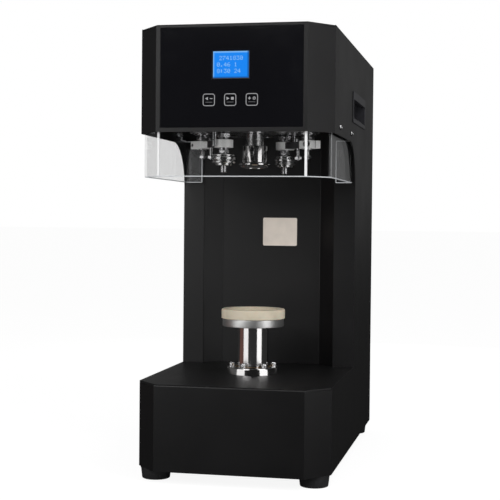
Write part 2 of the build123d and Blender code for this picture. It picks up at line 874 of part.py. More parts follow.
def make_drive_motor():
    """Seaming motor, hung upright below the head plate, with stepped end caps."""
    bottom = plate_bottom - motor_length
    step = motor_radius - motor_cap_step
    profile = [(0, bottom), (step, bottom), (step, bottom + motor_end_cap),
               (motor_radius, bottom + motor_end_cap),
               (motor_radius, plate_bottom - motor_end_cap), (step, plate_bottom - motor_end_cap),
               (step, plate_bottom), (motor_boss_radius, plate_bottom),
               (motor_boss_radius, plate_bottom + motor_boss_height), (0, plate_bottom + motor_boss_height)]
    bore = rod(motor_shaft_radius + running_clearance, plate_bottom - motor_shaft_depth - running_clearance,
               plate_bottom + motor_boss_height + 1)
    return Pos(0, motor_y, 0) * (turned(profile) - bore)


def pitch_radius(teeth):
    """Outer radius of a toothed pulley."""
    return teeth * tooth_pitch / (2 * math.pi)


def toothed_pulley(teeth, bore, z0):
    """Toothed pulley with two thin flanges."""
    outer = pitch_radius(teeth)
    gaps = PolarLocations(outer, teeth) * Rectangle(2 * tooth_depth, tooth_pitch / 2)
    rim = Circle(outer) - gaps
    wheel = extrude(Pos(0, 0, z0) * rim, pulley_height)
    for z in (z0, z0 + pulley_height - pulley_flange):
        wheel += rod(outer + pulley_flange_rise, z, z + pulley_flange)
    return wheel - rod(bore, z0 - 1, z0 + pulley_height + 1)


def make_motor_pulleys():
    """Motor shaft with one toothed pulley for each belt."""
    shaft = rod(motor_shaft_radius, plate_bottom - motor_shaft_depth, carrier_pulley_top + 2)
    for z in (cam_pulley_bottom, carrier_pulley_bottom):
        shaft += toothed_pulley(motor_teeth, motor_shaft_radius - 1, z)
    return Pos(0, motor_y, 0) * shaft


def belt(teeth, z0):
    """Closed belt round a sleeve pulley and the motor pulley."""
    big = pitch_radius(teeth) + belt_gap
    small = pitch_radius(motor_teeth) + belt_gap
    ends = ((axis_y, big), (motor_y, small))
    inner = make_hull([edge for y, radius in ends for edge in (Pos(0, y) * Circle(radius)).edges()])
    outer = make_hull([edge for y, radius in ends
                       for edge in (Pos(0, y) * Circle(radius + belt_thickness)).edges()])
    low = z0 + pulley_flange + belt_gap
    return extrude(Pos(0, 0, low) * (outer - inner), belt_width)


def make_drive_belts():
    """The two belts: carrier and cam."""
    return group(belt(cam_teeth, cam_pulley_bottom), belt(carrier_teeth, carrier_pulley_bottom))


def make_carrier_disc():
    """Rotating disc that carries the two roller arms, with their stop pins."""
    disc = rod(carrier_radius, carrier_bottom, carrier_top)
    disc = chamfer(disc.edges().filter_by(GeomType.CIRCLE), carrier_chamfer)
    disc -= rod(carrier_sleeve_radius, carrier_bottom - 1, carrier_top + 1)
    pin_reach = arm_eye_radius + stop_pin_radius + stop_pin_gap
    pin_x = roller_x + pin_reach * arm_across[0]
    pin_y = roller_y + pin_reach * arm_across[1]
    for side in (1, -1):
        disc -= rod(bush_radius, carrier_bottom - 1, carrier_top + 1, side * pivot_radius_from_axis)
        disc -= rod(lightening_hole_radius, carrier_bottom - 1, carrier_top + 1, 0,
                    side * lightening_hole_offset)
        disc += rod(stop_pin_radius, arm_bottom + arm_relief, carrier_bottom, side * pin_x, side * pin_y)
    return on_axis(disc)


def make_carrier_sleeve():
    """Inner sleeve that turns the carrier disc round the fixed shaft."""
    return on_axis(tube(carrier_sleeve_radius, shaft_radius + running_clearance, carrier_bottom,
                        carrier_hub_top))


def make_carrier_pulley():
    """Toothed pulley of the carrier, with its clamping hub above."""
    wheel = toothed_pulley(carrier_teeth, carrier_sleeve_radius, carrier_pulley_bottom)
    return on_axis(wheel + tube(carrier_hub_radius, carrier_sleeve_radius, carrier_pulley_top,
                                carrier_hub_top))


def make_feed_cam():
    """Flat cam with one lobe that pushes the two arm levers outward in turn."""
    lobe_centre = cam_radius + cam_lift - cam_nose_radius
    turn = math.radians(cam_lobe_angle)
    base = Circle(cam_radius)
    lobe = Pos(lobe_centre * math.cos(turn), lobe_centre * math.sin(turn)) * Circle(cam_nose_radius)
    outline = make_hull([*base.edges(), *lobe.edges()]) - Circle(cam_sleeve_radius)
    return on_axis(extrude(Pos(0, 0, cam_bottom) * outline, cam_thickness))


def make_cam_sleeve():
    """Outer sleeve that turns the cam, running on the carrier's sleeve."""
    return on_axis(tube(cam_sleeve_radius, carrier_sleeve_radius + running_clearance, cam_bottom,
                        cam_pulley_top))


def make_cam_pulley():
    """Toothed pulley of the cam, one tooth smaller than the carrier's."""
    return on_axis(toothed_pulley(cam_teeth, cam_sleeve_radius, cam_pulley_bottom))


def make_pivot_bushes():
    """Flanged bushes of the two arm pivots."""
    bore = pivot_shaft_radius + running_clearance
    bush = tube(bush_radius, bore, carrier_bottom, carrier_top)
    bush += tube(bush_flange_radius, bore, carrier_bottom - bush_flange, carrier_bottom)
    return group(*[on_axis(Pos(side * pivot_radius_from_axis, 0, 0) * bush) for side in (1, -1)])


def make_return_springs():
    """Torsion springs round the two pivots, drawn as one ribbed coil each."""
    middle = pivot_shaft_radius + spring_gap + spring_wire_radius
    first = (arm_top + carrier_bottom - bush_flange) / 2 - spring_pitch * (spring_turns - 1) / 2
    wire = Sketch() + [Pos(middle, first + i * spring_pitch) * Circle(spring_wire_radius)
                       for i in range(spring_turns)]
    coil = revolve(Plane.XZ * wire, Axis.Z)
    return group(*[on_axis(Pos(side * pivot_radius_from_axis, 0, 0) * coil) for side in (1, -1)])


def at_arm(shape, side):
    """Place a piece made for the arm on the right, or turn it half round for the other arm."""
    return on_axis(Rot(0, 0, 0 if side > 0 else 180) * shape)


def on_arm(u, v):
    """Point on the arm, from its pivot: u along the tail, v across it."""
    return (pivot_radius_from_axis + u * arm_out[0] + v * arm_across[0], u * arm_out[1] + v * arm_across[1])


def arm_strip(u0, u1, width_across):
    """Flat strip along the arm's line, between two distances from the pivot."""
    middle = on_arm((u0 + u1) / 2, 0)
    return Pos(*middle) * Rot(0, 0, arm_turn) * Rectangle(u1 - u0, width_across)


def make_roller_arm(side):
    """Roller arm: an eye for the roller stud, a thinner bar and a split clamp on the pivot shaft."""
    eye = Pos(roller_x, roller_y) * Circle(arm_eye_radius)
    clamp = arm_strip(-clamp_width / 2, clamp_tail, clamp_width)
    clamp = fillet(clamp.vertices(), clamp_corner_radius)
    bar = arm_strip(-arm_length, 0, arm_bar_width)
    arm = extrude(Pos(0, 0, arm_bottom) * eye, arm_thickness)
    arm += extrude(Pos(0, 0, arm_bottom) * clamp, arm_thickness)
    arm += extrude(Pos(0, 0, arm_bottom + arm_relief) * bar, arm_thickness - 2 * arm_relief)
    through = (arm_bottom - 1, arm_top + 1)
    arm -= rod(stud_radius, *through, roller_x, roller_y)
    arm -= rod(pivot_shaft_radius, *through, pivot_radius_from_axis)
    arm -= rod(cap_screw_radius, *through, *on_arm(-stop_screw_share * arm_length, 0))
    slit = arm_strip(pivot_shaft_radius / 2, clamp_tail + 1, clamp_slit)
    arm -= extrude(Pos(0, 0, arm_bottom - 1) * slit, arm_thickness + 2)
    pinch = on_arm(pinch_screw_offset, 0)
    bore = rod(cap_screw_radius, -clamp_width, clamp_width)
    arm -= Pos(*pinch, (arm_bottom + arm_top) / 2) * Rot(0, 0, arm_turn) * Rot(90, 0, 0) * bore
    return at_arm(arm, side)


def make_arm_shaft(side):
    """Pivot shaft, clamped in the arm below and in the cam lever above."""
    shoulder = arm_bottom - pivot_shoulder
    shaft = rod(pivot_shaft_radius, shoulder, lever_top, pivot_radius_from_axis)
    shaft += rod(pivot_tip_radius, arm_bottom - pivot_tip_drop, shoulder, pivot_radius_from_axis)
    return at_arm(shaft, side)


def make_arm_screws(side):
    """Pinch screw of the clamp, stop screw through the bar, and the two lower nuts."""
    middle = (arm_bottom + arm_top) / 2
    pinch = rod(cap_screw_radius, -clamp_width / 2, clamp_width / 2)
    pinch += rod(cap_head_radius, clamp_width / 2, clamp_width / 2 + cap_head_height)
    pinch = Pos(*on_arm(pinch_screw_offset, 0), middle) * Rot(0, 0, arm_turn) * Rot(90, 0, 0) * pinch
    stop_x, stop_y = on_arm(-stop_screw_share * arm_length, 0)
    bar_top = arm_top - arm_relief
    stop = rod(cap_screw_radius, arm_bottom - stop_screw_drop, bar_top, stop_x, stop_y)
    stop += rod(cap_head_radius, bar_top, bar_top + cap_head_height, stop_x, stop_y)
    stop_nut_bottom = arm_bottom - stop_screw_drop + 1
    stop += hexagon(2 * cap_nut_radius, stop_nut_bottom, stop_nut_bottom + cap_nut_height, stop_x, stop_y)
    tip_nut_bottom = arm_bottom - pivot_tip_drop + 1
    tip_nut = hexagon(2 * cap_nut_radius, tip_nut_bottom, tip_nut_bottom + cap_nut_height,
                      pivot_radius_from_axis)
    tip_nut -= rod(pivot_tip_radius, tip_nut_bottom - 1, tip_nut_bottom + cap_nut_height + 1,
                   pivot_radius_from_axis)
    return group(*[at_arm(piece, side) for piece in (pinch, stop, tip_nut)])


def make_cam_lever(side):
    """Lever on top of the pivot shaft, with a hardened nose that rides on the cam's edge."""
    hub = Pos(pivot_radius_from_axis, 0) * Circle(lever_hub_radius)
    nose = Pos(pivot_radius_from_axis, -lever_reach) * Circle(lever_nose_radius)
    bar = Pos(pivot_radius_from_axis, -lever_reach / 2) * Rectangle(lever_width, lever_reach)
    lever = extrude(Pos(0, 0, lever_bottom) * (hub + bar + nose), lever_thickness)
    lever += extrude(Pos(0, 0, lever_bottom) * nose, cam_top - lever_bottom)
    lever -= rod(pivot_shaft_radius, lever_bottom - 1, lever_top + 1, pivot_radius_from_axis)
    return at_arm(lever, side)


def make_roller_stud(side):
    """Eccentric stud: hexagon above the arm, lock nut below it, and the pin that the roller turns on."""
    head_bottom_z = arm_top + stud_collar_height
    nut_top = arm_bottom - stud_nut_gap
    nut_bottom_z = nut_top - stud_nut_height
    pin_bottom = roller_bottom - roller_end_gap
    shoulder = roller_top + roller_end_gap
    stud = hexagon(stud_head_across_flats, head_bottom_z, head_bottom_z + stud_head_height)
    stud += rod(stud_collar_radius, arm_top, head_bottom_z)
    stud += rod(stud_radius, shoulder, arm_top)
    stud += hexagon(stud_nut_across_flats, nut_bottom_z, nut_top)
    stud += rod(stud_collar_radius, nut_top, arm_bottom)
    stud += rod(roller_pin_radius, pin_bottom, shoulder)
    stud += rod(roller_cap_radius, pin_bottom - roller_cap_length, pin_bottom)
    return at_arm(Pos(roller_x, roller_y, 0) * stud, side)


def make_roller(side, radius, groove_depth):
    """Seaming roller: hub, two lips with a round-bottomed groove between them, and a dust cap."""
    lower_lip_bottom = roller_bottom + roller_hub_height
    groove_bottom = lower_lip_bottom + roller_lower_lip
    groove_top = groove_bottom + roller_groove_height
    neck_bottom = groove_top + roller_upper_lip
    cap_bottom = neck_bottom + roller_neck_height
    cap_radius = radius - roller_dust_cap_inset
    neck_radius = cap_radius - roller_dust_cap_inset
    bore = roller_pin_radius + running_clearance
    outline = Polyline((bore, roller_bottom), (roller_hub_radius, roller_bottom),
                       (roller_hub_radius, lower_lip_bottom),
                       (radius, lower_lip_bottom), (radius, groove_bottom))
    outline += ThreePointArc((radius, groove_bottom),
                             (radius - groove_depth, (groove_bottom + groove_top) / 2),
                             (radius, groove_top))
    outline += Polyline((radius, groove_top), (radius, neck_bottom), (neck_radius, neck_bottom),
                        (neck_radius, cap_bottom), (cap_radius, cap_bottom), (cap_radius, roller_top),
                        (bore, roller_top), (bore, roller_bottom))
    roller = revolve(Plane.XZ * make_face(outline), Axis.Z)
    return at_arm(Pos(roller_x, roller_y, 0) * roller, side)


def ram_flange_holes(z0, z1):
    """Holes for the guide and the flange's screws, about the Z axis."""
    holes = rod(guide_radius, z0, z1)
    for x, y in flange_screw_places():
        holes += rod(cap_screw_radius, z0, z1, x, y)
    return holes


def flange_screw_places():
    """Screw places round the flange."""
    turns = [math.radians(flange_screw_turn + i * 360 / flange_screw_count)
             for i in range(flange_screw_count)]
    radius = flange_screw_circle / 2
    return [(radius * math.cos(turn), radius * math.sin(turn)) for turn in turns]


def make_can_pad():
    """Nylon pad with the shallow seat that centres the can."""
    pad = rod(pad_radius, pad_bottom, pad_top)
    pad = fillet(pad.edges().filter_by(GeomType.CIRCLE), pad_edge_radius)
    return on_axis(pad - rod(seat_radius, pad_top - seat_depth, pad_top + 1))


def make_lift_plate():
    """Aluminium disc under the pad."""
    disc = rod(disc_radius, disc_bottom, pad_bottom)
    return on_axis(fillet(disc.edges().filter_by(GeomType.CIRCLE), disc_edge_radius))


def make_lift_ram():
    """Hollow polished ram, closed at the top."""
    bore = rod(ram_bore_radius, ram_bottom - 1, disc_bottom - ram_crown)
    return on_axis(rod(ram_radius, ram_bottom, disc_bottom) - bore)


def make_lift_nut():
    """Flanged nut in the foot of the ram."""
    nut = rod(nut_flange_radius, nut_bottom, ram_bottom)
    nut += rod(ram_bore_radius, ram_bottom, ram_bottom + nut_length)
    return on_axis(nut - rod(lead_screw_radius + running_clearance, nut_bottom - 1,
                             ram_bottom + nut_length + 1))


def make_lead_screw():
    """Lead screw that turns in the lift motor and raises the nut."""
    return on_axis(rod(lead_screw_radius, lift_motor_top - lead_screw_sink, lift_motor_top + lead_screw_rise))


def make_lift_motor():
    """Square lift motor on the base plate, with its round pilot and the bore of its rotor."""
    size = lift_motor_size / 2
    body = chamfer(block(-size, size, -size, size, base_floor, lift_motor_top).edges().filter_by(Axis.Z),
                   lift_motor_corner)
    body += rod(lift_pilot_radius, lift_motor_top, lift_motor_top + lift_pilot_height)
    bore = rod(lead_screw_radius + running_clearance, lift_motor_top - lead_screw_sink - running_clearance,
               lift_motor_top + lift_pilot_height + 1)
    return on_axis(body - bore)


def make_lift_frame():
    """Bridge frame over the lift motor that carries the guide under the base cover."""
    under = base_ceiling - lift_frame_plate
    frame = block(-lift_frame_half_width, lift_frame_half_width, -lift_frame_half_depth,
                  lift_frame_half_depth,
                  under, base_ceiling)
    for side in (1, -1):
        outer = side * lift_frame_half_width
        inner = outer - side * lift_frame_wall
        toe = outer + side * lift_frame_foot
        frame += block(min(outer, inner), max(outer, inner), -lift_frame_half_depth, lift_frame_half_depth,
                       base_floor, under)
        frame += block(min(outer, toe), max(outer, toe), -lift_frame_half_depth, lift_frame_half_depth,
                       base_floor, base_floor + lift_frame_foot_thickness)
    return on_axis(frame - ram_flange_holes(under - 1, base_ceiling + 1))


def make_ram_guide():
    """Bronze guide of the ram."""
    return on_axis(tube(guide_radius, ram_radius + running_clearance, flange_top - guide_length, flange_top))


def make_ram_flange():
    """Round flange on the base, round the guide."""
    flange = rod(flange_radius, base_top, flange_top)
    flange = fillet(flange.edges().group_by(Axis.Z)[-1], flange_edge_radius)
    return on_axis(flange - ram_flange_holes(base_top - 1, flange_top + 1))


def make_flange_screws():
    """Cap screws of the flange."""
    pieces = []
    for x, y in flange_screw_places():
        screw = rod(cap_screw_radius, base_ceiling - lift_frame_plate, flange_top, x, y)
        pieces.append(on_axis(screw + rod(cap_head_radius, flange_top, flange_top + cap_head_height, x, y)))
    return group(*pieces)


def make_power_supply():
    """Enclosed power supply with its open terminal step."""
    x0, x1 = supply_x - supply_width / 2, supply_x + supply_width / 2
    y0, y1 = supply_y - supply_length / 2, supply_y + supply_length / 2
    case = block(x0, x1, y0, y1, base_floor, base_floor + supply_height)
    return case - block(x0 + sheet, x1 - sheet, y1 - supply_terminal_depth, y1 + 1,
                        base_floor + supply_terminal_height, base_floor + supply_height + 1)


def make_motor_driver():
    """Motor driver with cooling fins."""
    x0, x1 = driver_x - driver_width / 2, driver_x + driver_width / 2
    y0, y1 = driver_y - driver_length / 2, driver_y + driver_length / 2
    fins_bottom = base_floor + driver_base_height
    body = block(x0, x1, y0, y1, base_floor, fins_bottom)
    spacing = (driver_width - driver_fin_thickness) / (driver_fin_count - 1)
    for i in range(driver_fin_count):
        x = x0 + i * spacing
        body += block(x, x + driver_fin_thickness, y0, y1, fins_bottom, fins_bottom + driver_fin_height)
    return body


def rocker_pivot():
    """Height and depth of the rocker's pivot."""
    return rear_face + inlet_flange_thickness - rocker_pivot_sink, inlet_z + rocker_rise


def make_power_inlet():
    """Rear module: flange, body, a three-pin socket below and the rocker's frame above."""
    outer_face = rear_face + inlet_flange_thickness
    module = block(inlet_x - inlet_flange_width / 2, inlet_x + inlet_flange_width / 2, rear_face, outer_face,
                   inlet_z - inlet_flange_height / 2, inlet_z + inlet_flange_height / 2)
    module = fillet(module.edges().filter_by(Axis.Y), handle_corner_radius)
    module += block(inlet_x - inlet_body_width / 2, inlet_x + inlet_body_width / 2,
                    rear_face - inlet_body_depth,
                    rear_face, inlet_z - inlet_body_height / 2, inlet_z + inlet_body_height / 2)
    socket_z = inlet_z - socket_drop
    socket_floor = outer_face - socket_depth
    module -= block(inlet_x - socket_width / 2, inlet_x + socket_width / 2, socket_floor, outer_face + 1,
                    socket_z - socket_height / 2, socket_z + socket_height / 2)
    for x, z in ((-pin_spacing, -pin_offset), (0, pin_offset), (pin_spacing, -pin_offset)):
        module += block(inlet_x + x - pin_width / 2, inlet_x + x + pin_width / 2, socket_floor,
                        socket_floor + pin_length, socket_z + z - pin_height / 2,
                        socket_z + z + pin_height / 2)
    pivot_y, pivot_z = rocker_pivot()
    side = rocker_width / 2 + rocker_gap
    reach = rocker_radius + rocker_gap
    module -= block(inlet_x - side, inlet_x + side, pivot_y - rocker_depth - 2 * rocker_gap - 1,
                    outer_face + 1,
                    pivot_z - reach, pivot_z + reach)
    pin_hole = rod(rocker_pin_radius + running_clearance, -side - rocker_pin_reach, side + rocker_pin_reach)
    return module - along_x(pin_hole, inlet_x, pivot_y, pivot_z)


def make_power_rocker():
    """Rocker of the power switch, set to off, with its two pivot pins."""
    reach = rocker_radius
    crown = [(-rocker_depth, -reach), (rocker_shoulder, -reach), (rocker_crown, 0), (rocker_shoulder, reach),
             (-rocker_depth, reach)]
    outline = Circle(reach) & make_face(Polyline(*crown, close=True))
    key = extrude(Plane.YZ * outline, rocker_width / 2, both=True)
    key += along_x(rod(rocker_pin_radius, -rocker_width / 2 - rocker_pin_reach,
                       rocker_width / 2 + rocker_pin_reach), 0, 0, 0)
    pivot_y, pivot_z = rocker_pivot()
    return Pos(inlet_x, pivot_y, pivot_z) * Rot(rocker_tilt, 0, 0) * key


def build_nodes():
    """Every node of the machine by name."""
    return {
        "side_panel_right": make_side_panel(),
        "side_panel_left": mirrored(make_side_panel()),
        "head_cover": make_head_cover(),
        "base_cover": make_base_cover(),
        "column_front_sheet": make_column_front_sheet(),
        "base_plate": make_base_plate(),
        "rear_panel": make_rear_panel(),
        "rubber_feet": make_rubber_feet(),
        "casing_screws": make_casing_screws(),
        "carry_handle_right": make_carry_handle(),
        "carry_handle_left": mirrored(make_carry_handle()),
        "guard_window": make_guard_window(),
        "guard_spacers": make_guard_spacers(),
        "control_glass": make_control_glass(),
        "display_module": make_display_module(),
        "control_board": make_control_board(),
        "blank_label": make_blank_label(),
        "head_plate": make_head_plate(),
        "spindle_housing": make_spindle_housing(),
        "spindle_bearings": make_spindle_bearings(),
        "centre_shaft": make_centre_shaft(),
        "chuck": make_chuck(),
        "shaft_bridge": make_shaft_bridge(),
        "drive_motor": make_drive_motor(),
        "motor_pulleys": make_motor_pulleys(),
        "drive_belts": make_drive_belts(),
        "carrier_disc": make_carrier_disc(),
        "carrier_sleeve": make_carrier_sleeve(),
        "carrier_pulley": make_carrier_pulley(),
        "feed_cam": make_feed_cam(),
        "cam_sleeve": make_cam_sleeve(),
        "cam_pulley": make_cam_pulley(),
        "pivot_bushes": make_pivot_bushes(),
        "return_springs": make_return_springs(),
        "first_roller_arm": make_roller_arm(-1),
        "first_arm_shaft": make_arm_shaft(-1),
        "first_arm_screws": make_arm_screws(-1),
        "first_cam_lever": make_cam_lever(-1),
        "first_roller_stud": make_roller_stud(-1),
        "first_roller": make_roller(-1, first_roller_radius, first_groove_depth),
        "second_roller_arm": make_roller_arm(1),
        "second_arm_shaft": make_arm_shaft(1),
        "second_arm_screws": make_arm_screws(1),
        "second_cam_lever": make_cam_lever(1),
        "second_roller_stud": make_roller_stud(1),
        "second_roller": make_roller(1, second_roller_radius, second_groove_depth),
        "can_pad": make_can_pad(),
        "lift_plate": make_lift_plate(),
        "lift_ram": make_lift_ram(),
        "lift_nut": make_lift_nut(),
        "lead_screw": make_lead_screw(),
        "lift_motor": make_lift_motor(),
        "lift_frame": make_lift_frame(),
        "ram_guide": make_ram_guide(),
        "ram_flange": make_ram_flange(),
        "flange_screws": make_flange_screws(),
        "power_supply": make_power_supply(),
        "motor_driver": make_motor_driver(),
        "power_inlet": make_power_inlet(),
        "power_rocker": make_power_rocker(),
    }


def main():
    """Write one STEP file for each node."""
    os.makedirs("parts", exist_ok=True)
    for name, shape in build_nodes().items():
        export_step(shape, f"parts/{name}.step")


if __name__ == "__main__":
    main()
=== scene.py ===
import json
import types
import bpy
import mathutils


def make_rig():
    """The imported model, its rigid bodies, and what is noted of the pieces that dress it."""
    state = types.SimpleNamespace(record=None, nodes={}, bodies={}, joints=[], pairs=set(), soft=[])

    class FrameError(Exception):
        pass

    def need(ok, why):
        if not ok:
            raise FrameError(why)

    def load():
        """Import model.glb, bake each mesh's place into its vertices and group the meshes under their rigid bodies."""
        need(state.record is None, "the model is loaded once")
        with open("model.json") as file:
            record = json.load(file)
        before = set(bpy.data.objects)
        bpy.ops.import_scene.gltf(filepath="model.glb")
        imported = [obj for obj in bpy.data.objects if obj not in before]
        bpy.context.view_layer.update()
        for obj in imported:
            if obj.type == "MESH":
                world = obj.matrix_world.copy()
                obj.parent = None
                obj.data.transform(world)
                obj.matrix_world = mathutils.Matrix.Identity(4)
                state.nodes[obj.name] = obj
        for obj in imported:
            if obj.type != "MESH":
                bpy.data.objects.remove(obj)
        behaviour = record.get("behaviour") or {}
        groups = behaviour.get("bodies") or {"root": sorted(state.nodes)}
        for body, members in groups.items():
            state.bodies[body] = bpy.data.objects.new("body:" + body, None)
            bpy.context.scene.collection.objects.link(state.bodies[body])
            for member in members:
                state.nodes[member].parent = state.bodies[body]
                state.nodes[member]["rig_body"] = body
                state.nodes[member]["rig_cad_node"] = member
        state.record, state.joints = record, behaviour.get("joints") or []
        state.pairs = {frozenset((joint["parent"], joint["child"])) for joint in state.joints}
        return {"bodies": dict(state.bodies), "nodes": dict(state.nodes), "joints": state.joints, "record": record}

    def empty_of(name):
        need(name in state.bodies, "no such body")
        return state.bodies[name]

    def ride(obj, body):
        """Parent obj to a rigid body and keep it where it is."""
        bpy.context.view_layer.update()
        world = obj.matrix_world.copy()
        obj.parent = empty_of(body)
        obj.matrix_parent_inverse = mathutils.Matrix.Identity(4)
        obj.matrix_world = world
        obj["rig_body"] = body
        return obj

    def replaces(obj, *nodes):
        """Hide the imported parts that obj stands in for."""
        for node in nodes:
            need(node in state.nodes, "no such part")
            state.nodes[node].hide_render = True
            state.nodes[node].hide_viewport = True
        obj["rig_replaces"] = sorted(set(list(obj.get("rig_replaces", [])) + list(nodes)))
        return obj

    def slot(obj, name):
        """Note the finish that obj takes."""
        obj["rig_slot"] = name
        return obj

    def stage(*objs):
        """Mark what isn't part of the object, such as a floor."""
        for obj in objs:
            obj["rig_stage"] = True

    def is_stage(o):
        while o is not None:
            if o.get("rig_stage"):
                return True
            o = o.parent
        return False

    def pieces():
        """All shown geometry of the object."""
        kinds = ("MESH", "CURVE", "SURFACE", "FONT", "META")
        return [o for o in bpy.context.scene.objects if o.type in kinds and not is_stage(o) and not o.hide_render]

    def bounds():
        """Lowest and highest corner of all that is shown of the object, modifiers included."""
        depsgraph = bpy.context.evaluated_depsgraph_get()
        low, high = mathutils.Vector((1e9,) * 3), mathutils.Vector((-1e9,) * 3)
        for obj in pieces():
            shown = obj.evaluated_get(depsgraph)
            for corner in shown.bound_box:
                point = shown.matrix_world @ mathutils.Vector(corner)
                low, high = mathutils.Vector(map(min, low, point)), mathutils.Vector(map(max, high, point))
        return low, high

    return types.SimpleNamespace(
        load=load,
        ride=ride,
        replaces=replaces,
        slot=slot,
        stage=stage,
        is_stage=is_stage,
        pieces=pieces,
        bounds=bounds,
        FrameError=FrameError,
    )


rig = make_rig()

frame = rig.load()

import json
import logging
import math
from dataclasses import dataclass
from enum import Enum
from typing import Callable, Iterable, Optional, Sequence

import bmesh
import bpy
from mathutils import Matrix, Vector

CAD_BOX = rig.bounds()
MM = 0.001
SEAMING_AXIS = (0.0, -86.0)
ORIGIN = (0.0, 0.0)
SHARP_ANGLE = math.radians(35.0)
SHEET_MERGE = 2e-6
WHITE = (1.0, 1.0, 1.0)
METAL = {"Metallic": 1.0}
LOG = logging.getLogger("can_seamer")

Point = tuple[float, float]
Colour = tuple[float, float, float]
Outline = Callable[[float, float], float]
Piece = bpy.types.Object
Material = bpy.types.Material
Socket = bpy.types.NodeSocket
Face = bpy.types.MeshPolygon


class Body(Enum):
    """The moving groups of the machine."""

    CASING = "casing"
    ROCKER = "rocker"
    CARRIER = "carrier"
    FIRST_ARM = "first_arm"
    SECOND_ARM = "second_arm"
    FIRST_ROLLER = "first_roller"
    SECOND_ROLLER = "second_roller"
    CAM = "cam"
    MOTOR_ROTOR = "motor_rotor"
    LIFT = "lift"
    SCREW = "screw"


class Side(Enum):
    """Which of the two point-symmetric arms a piece belongs to: +1 turns it none, -1 half round."""

    FIRST = -1
    SECOND = 1


def maths(operation: str, swapped: bool = False) -> Callable[["Wire", "Wire | float"], "Wire"]:
    """Method of a wire that adds one Math node.

    Args:
        operation: The node's operation.
        swapped: Whether the other value comes first, as in a reflected operator.

    Returns:
        The method.
    """
    def method(wire: "Wire", other: "Wire | float") -> "Wire":
        """The node's result."""
        first, second = (other, wire) if swapped else (wire, other)
        return wire.shop.wire("ShaderNodeMath", {0: first, 1: second}, operation=operation)
    return method


class Wire:
    """A shader socket that takes part in sums written as Python expressions."""

    def __init__(self, shop: "Shop", socket: Socket) -> None:
        """Keep the socket and the builder of its tree."""
        self.shop = shop
        self.socket = socket

    __add__ = maths("ADD")
    __radd__ = maths("ADD", True)
    __sub__ = maths("SUBTRACT")
    __rsub__ = maths("SUBTRACT", True)
    __mul__ = maths("MULTIPLY")
    __rmul__ = maths("MULTIPLY", True)
    __pow__ = maths("POWER")
    above = maths("GREATER_THAN")
    larger = maths("MAXIMUM")

    def sine(self) -> "Wire":
        """Sine of the value."""
        return maths("SINE")(self, 0.0)

    def between(self, low: float, high: float) -> "Wire":
        """Smooth rise from 0 at one limit to 1 at the other."""
        limits = {"Value": self, "From Min": low, "From Max": high}
        return self.shop.wire("ShaderNodeMapRange", limits, interpolation_type="SMOOTHSTEP")


class Builder:
    """Adds nodes to a tree."""

    tree: bpy.types.NodeTree

    def node(self, kind: str, inputs: dict, **settings: object) -> bpy.types.Node:
        """Add any node.

        Args:
            kind: The node's type name.
            inputs: Values, wires, sockets or nodes by the socket's name or number.
            settings: Attributes that are set first.

        Returns:
            The new node.
        """
        node = self.tree.nodes.new(kind)
        for key, value in settings.items():
            setattr(node, key, value)
        for key, value in inputs.items():
            socket = node.inputs[key]
            if isinstance(value, Wire):
                value = value.socket
            elif isinstance(value, bpy.types.Node):
                value = value.outputs[0]
            if isinstance(value, Socket):
                self.tree.links.new(value, socket)
            else:
                socket.default_value = (*value, 1.0) if socket.type == "RGBA" else value
        return node


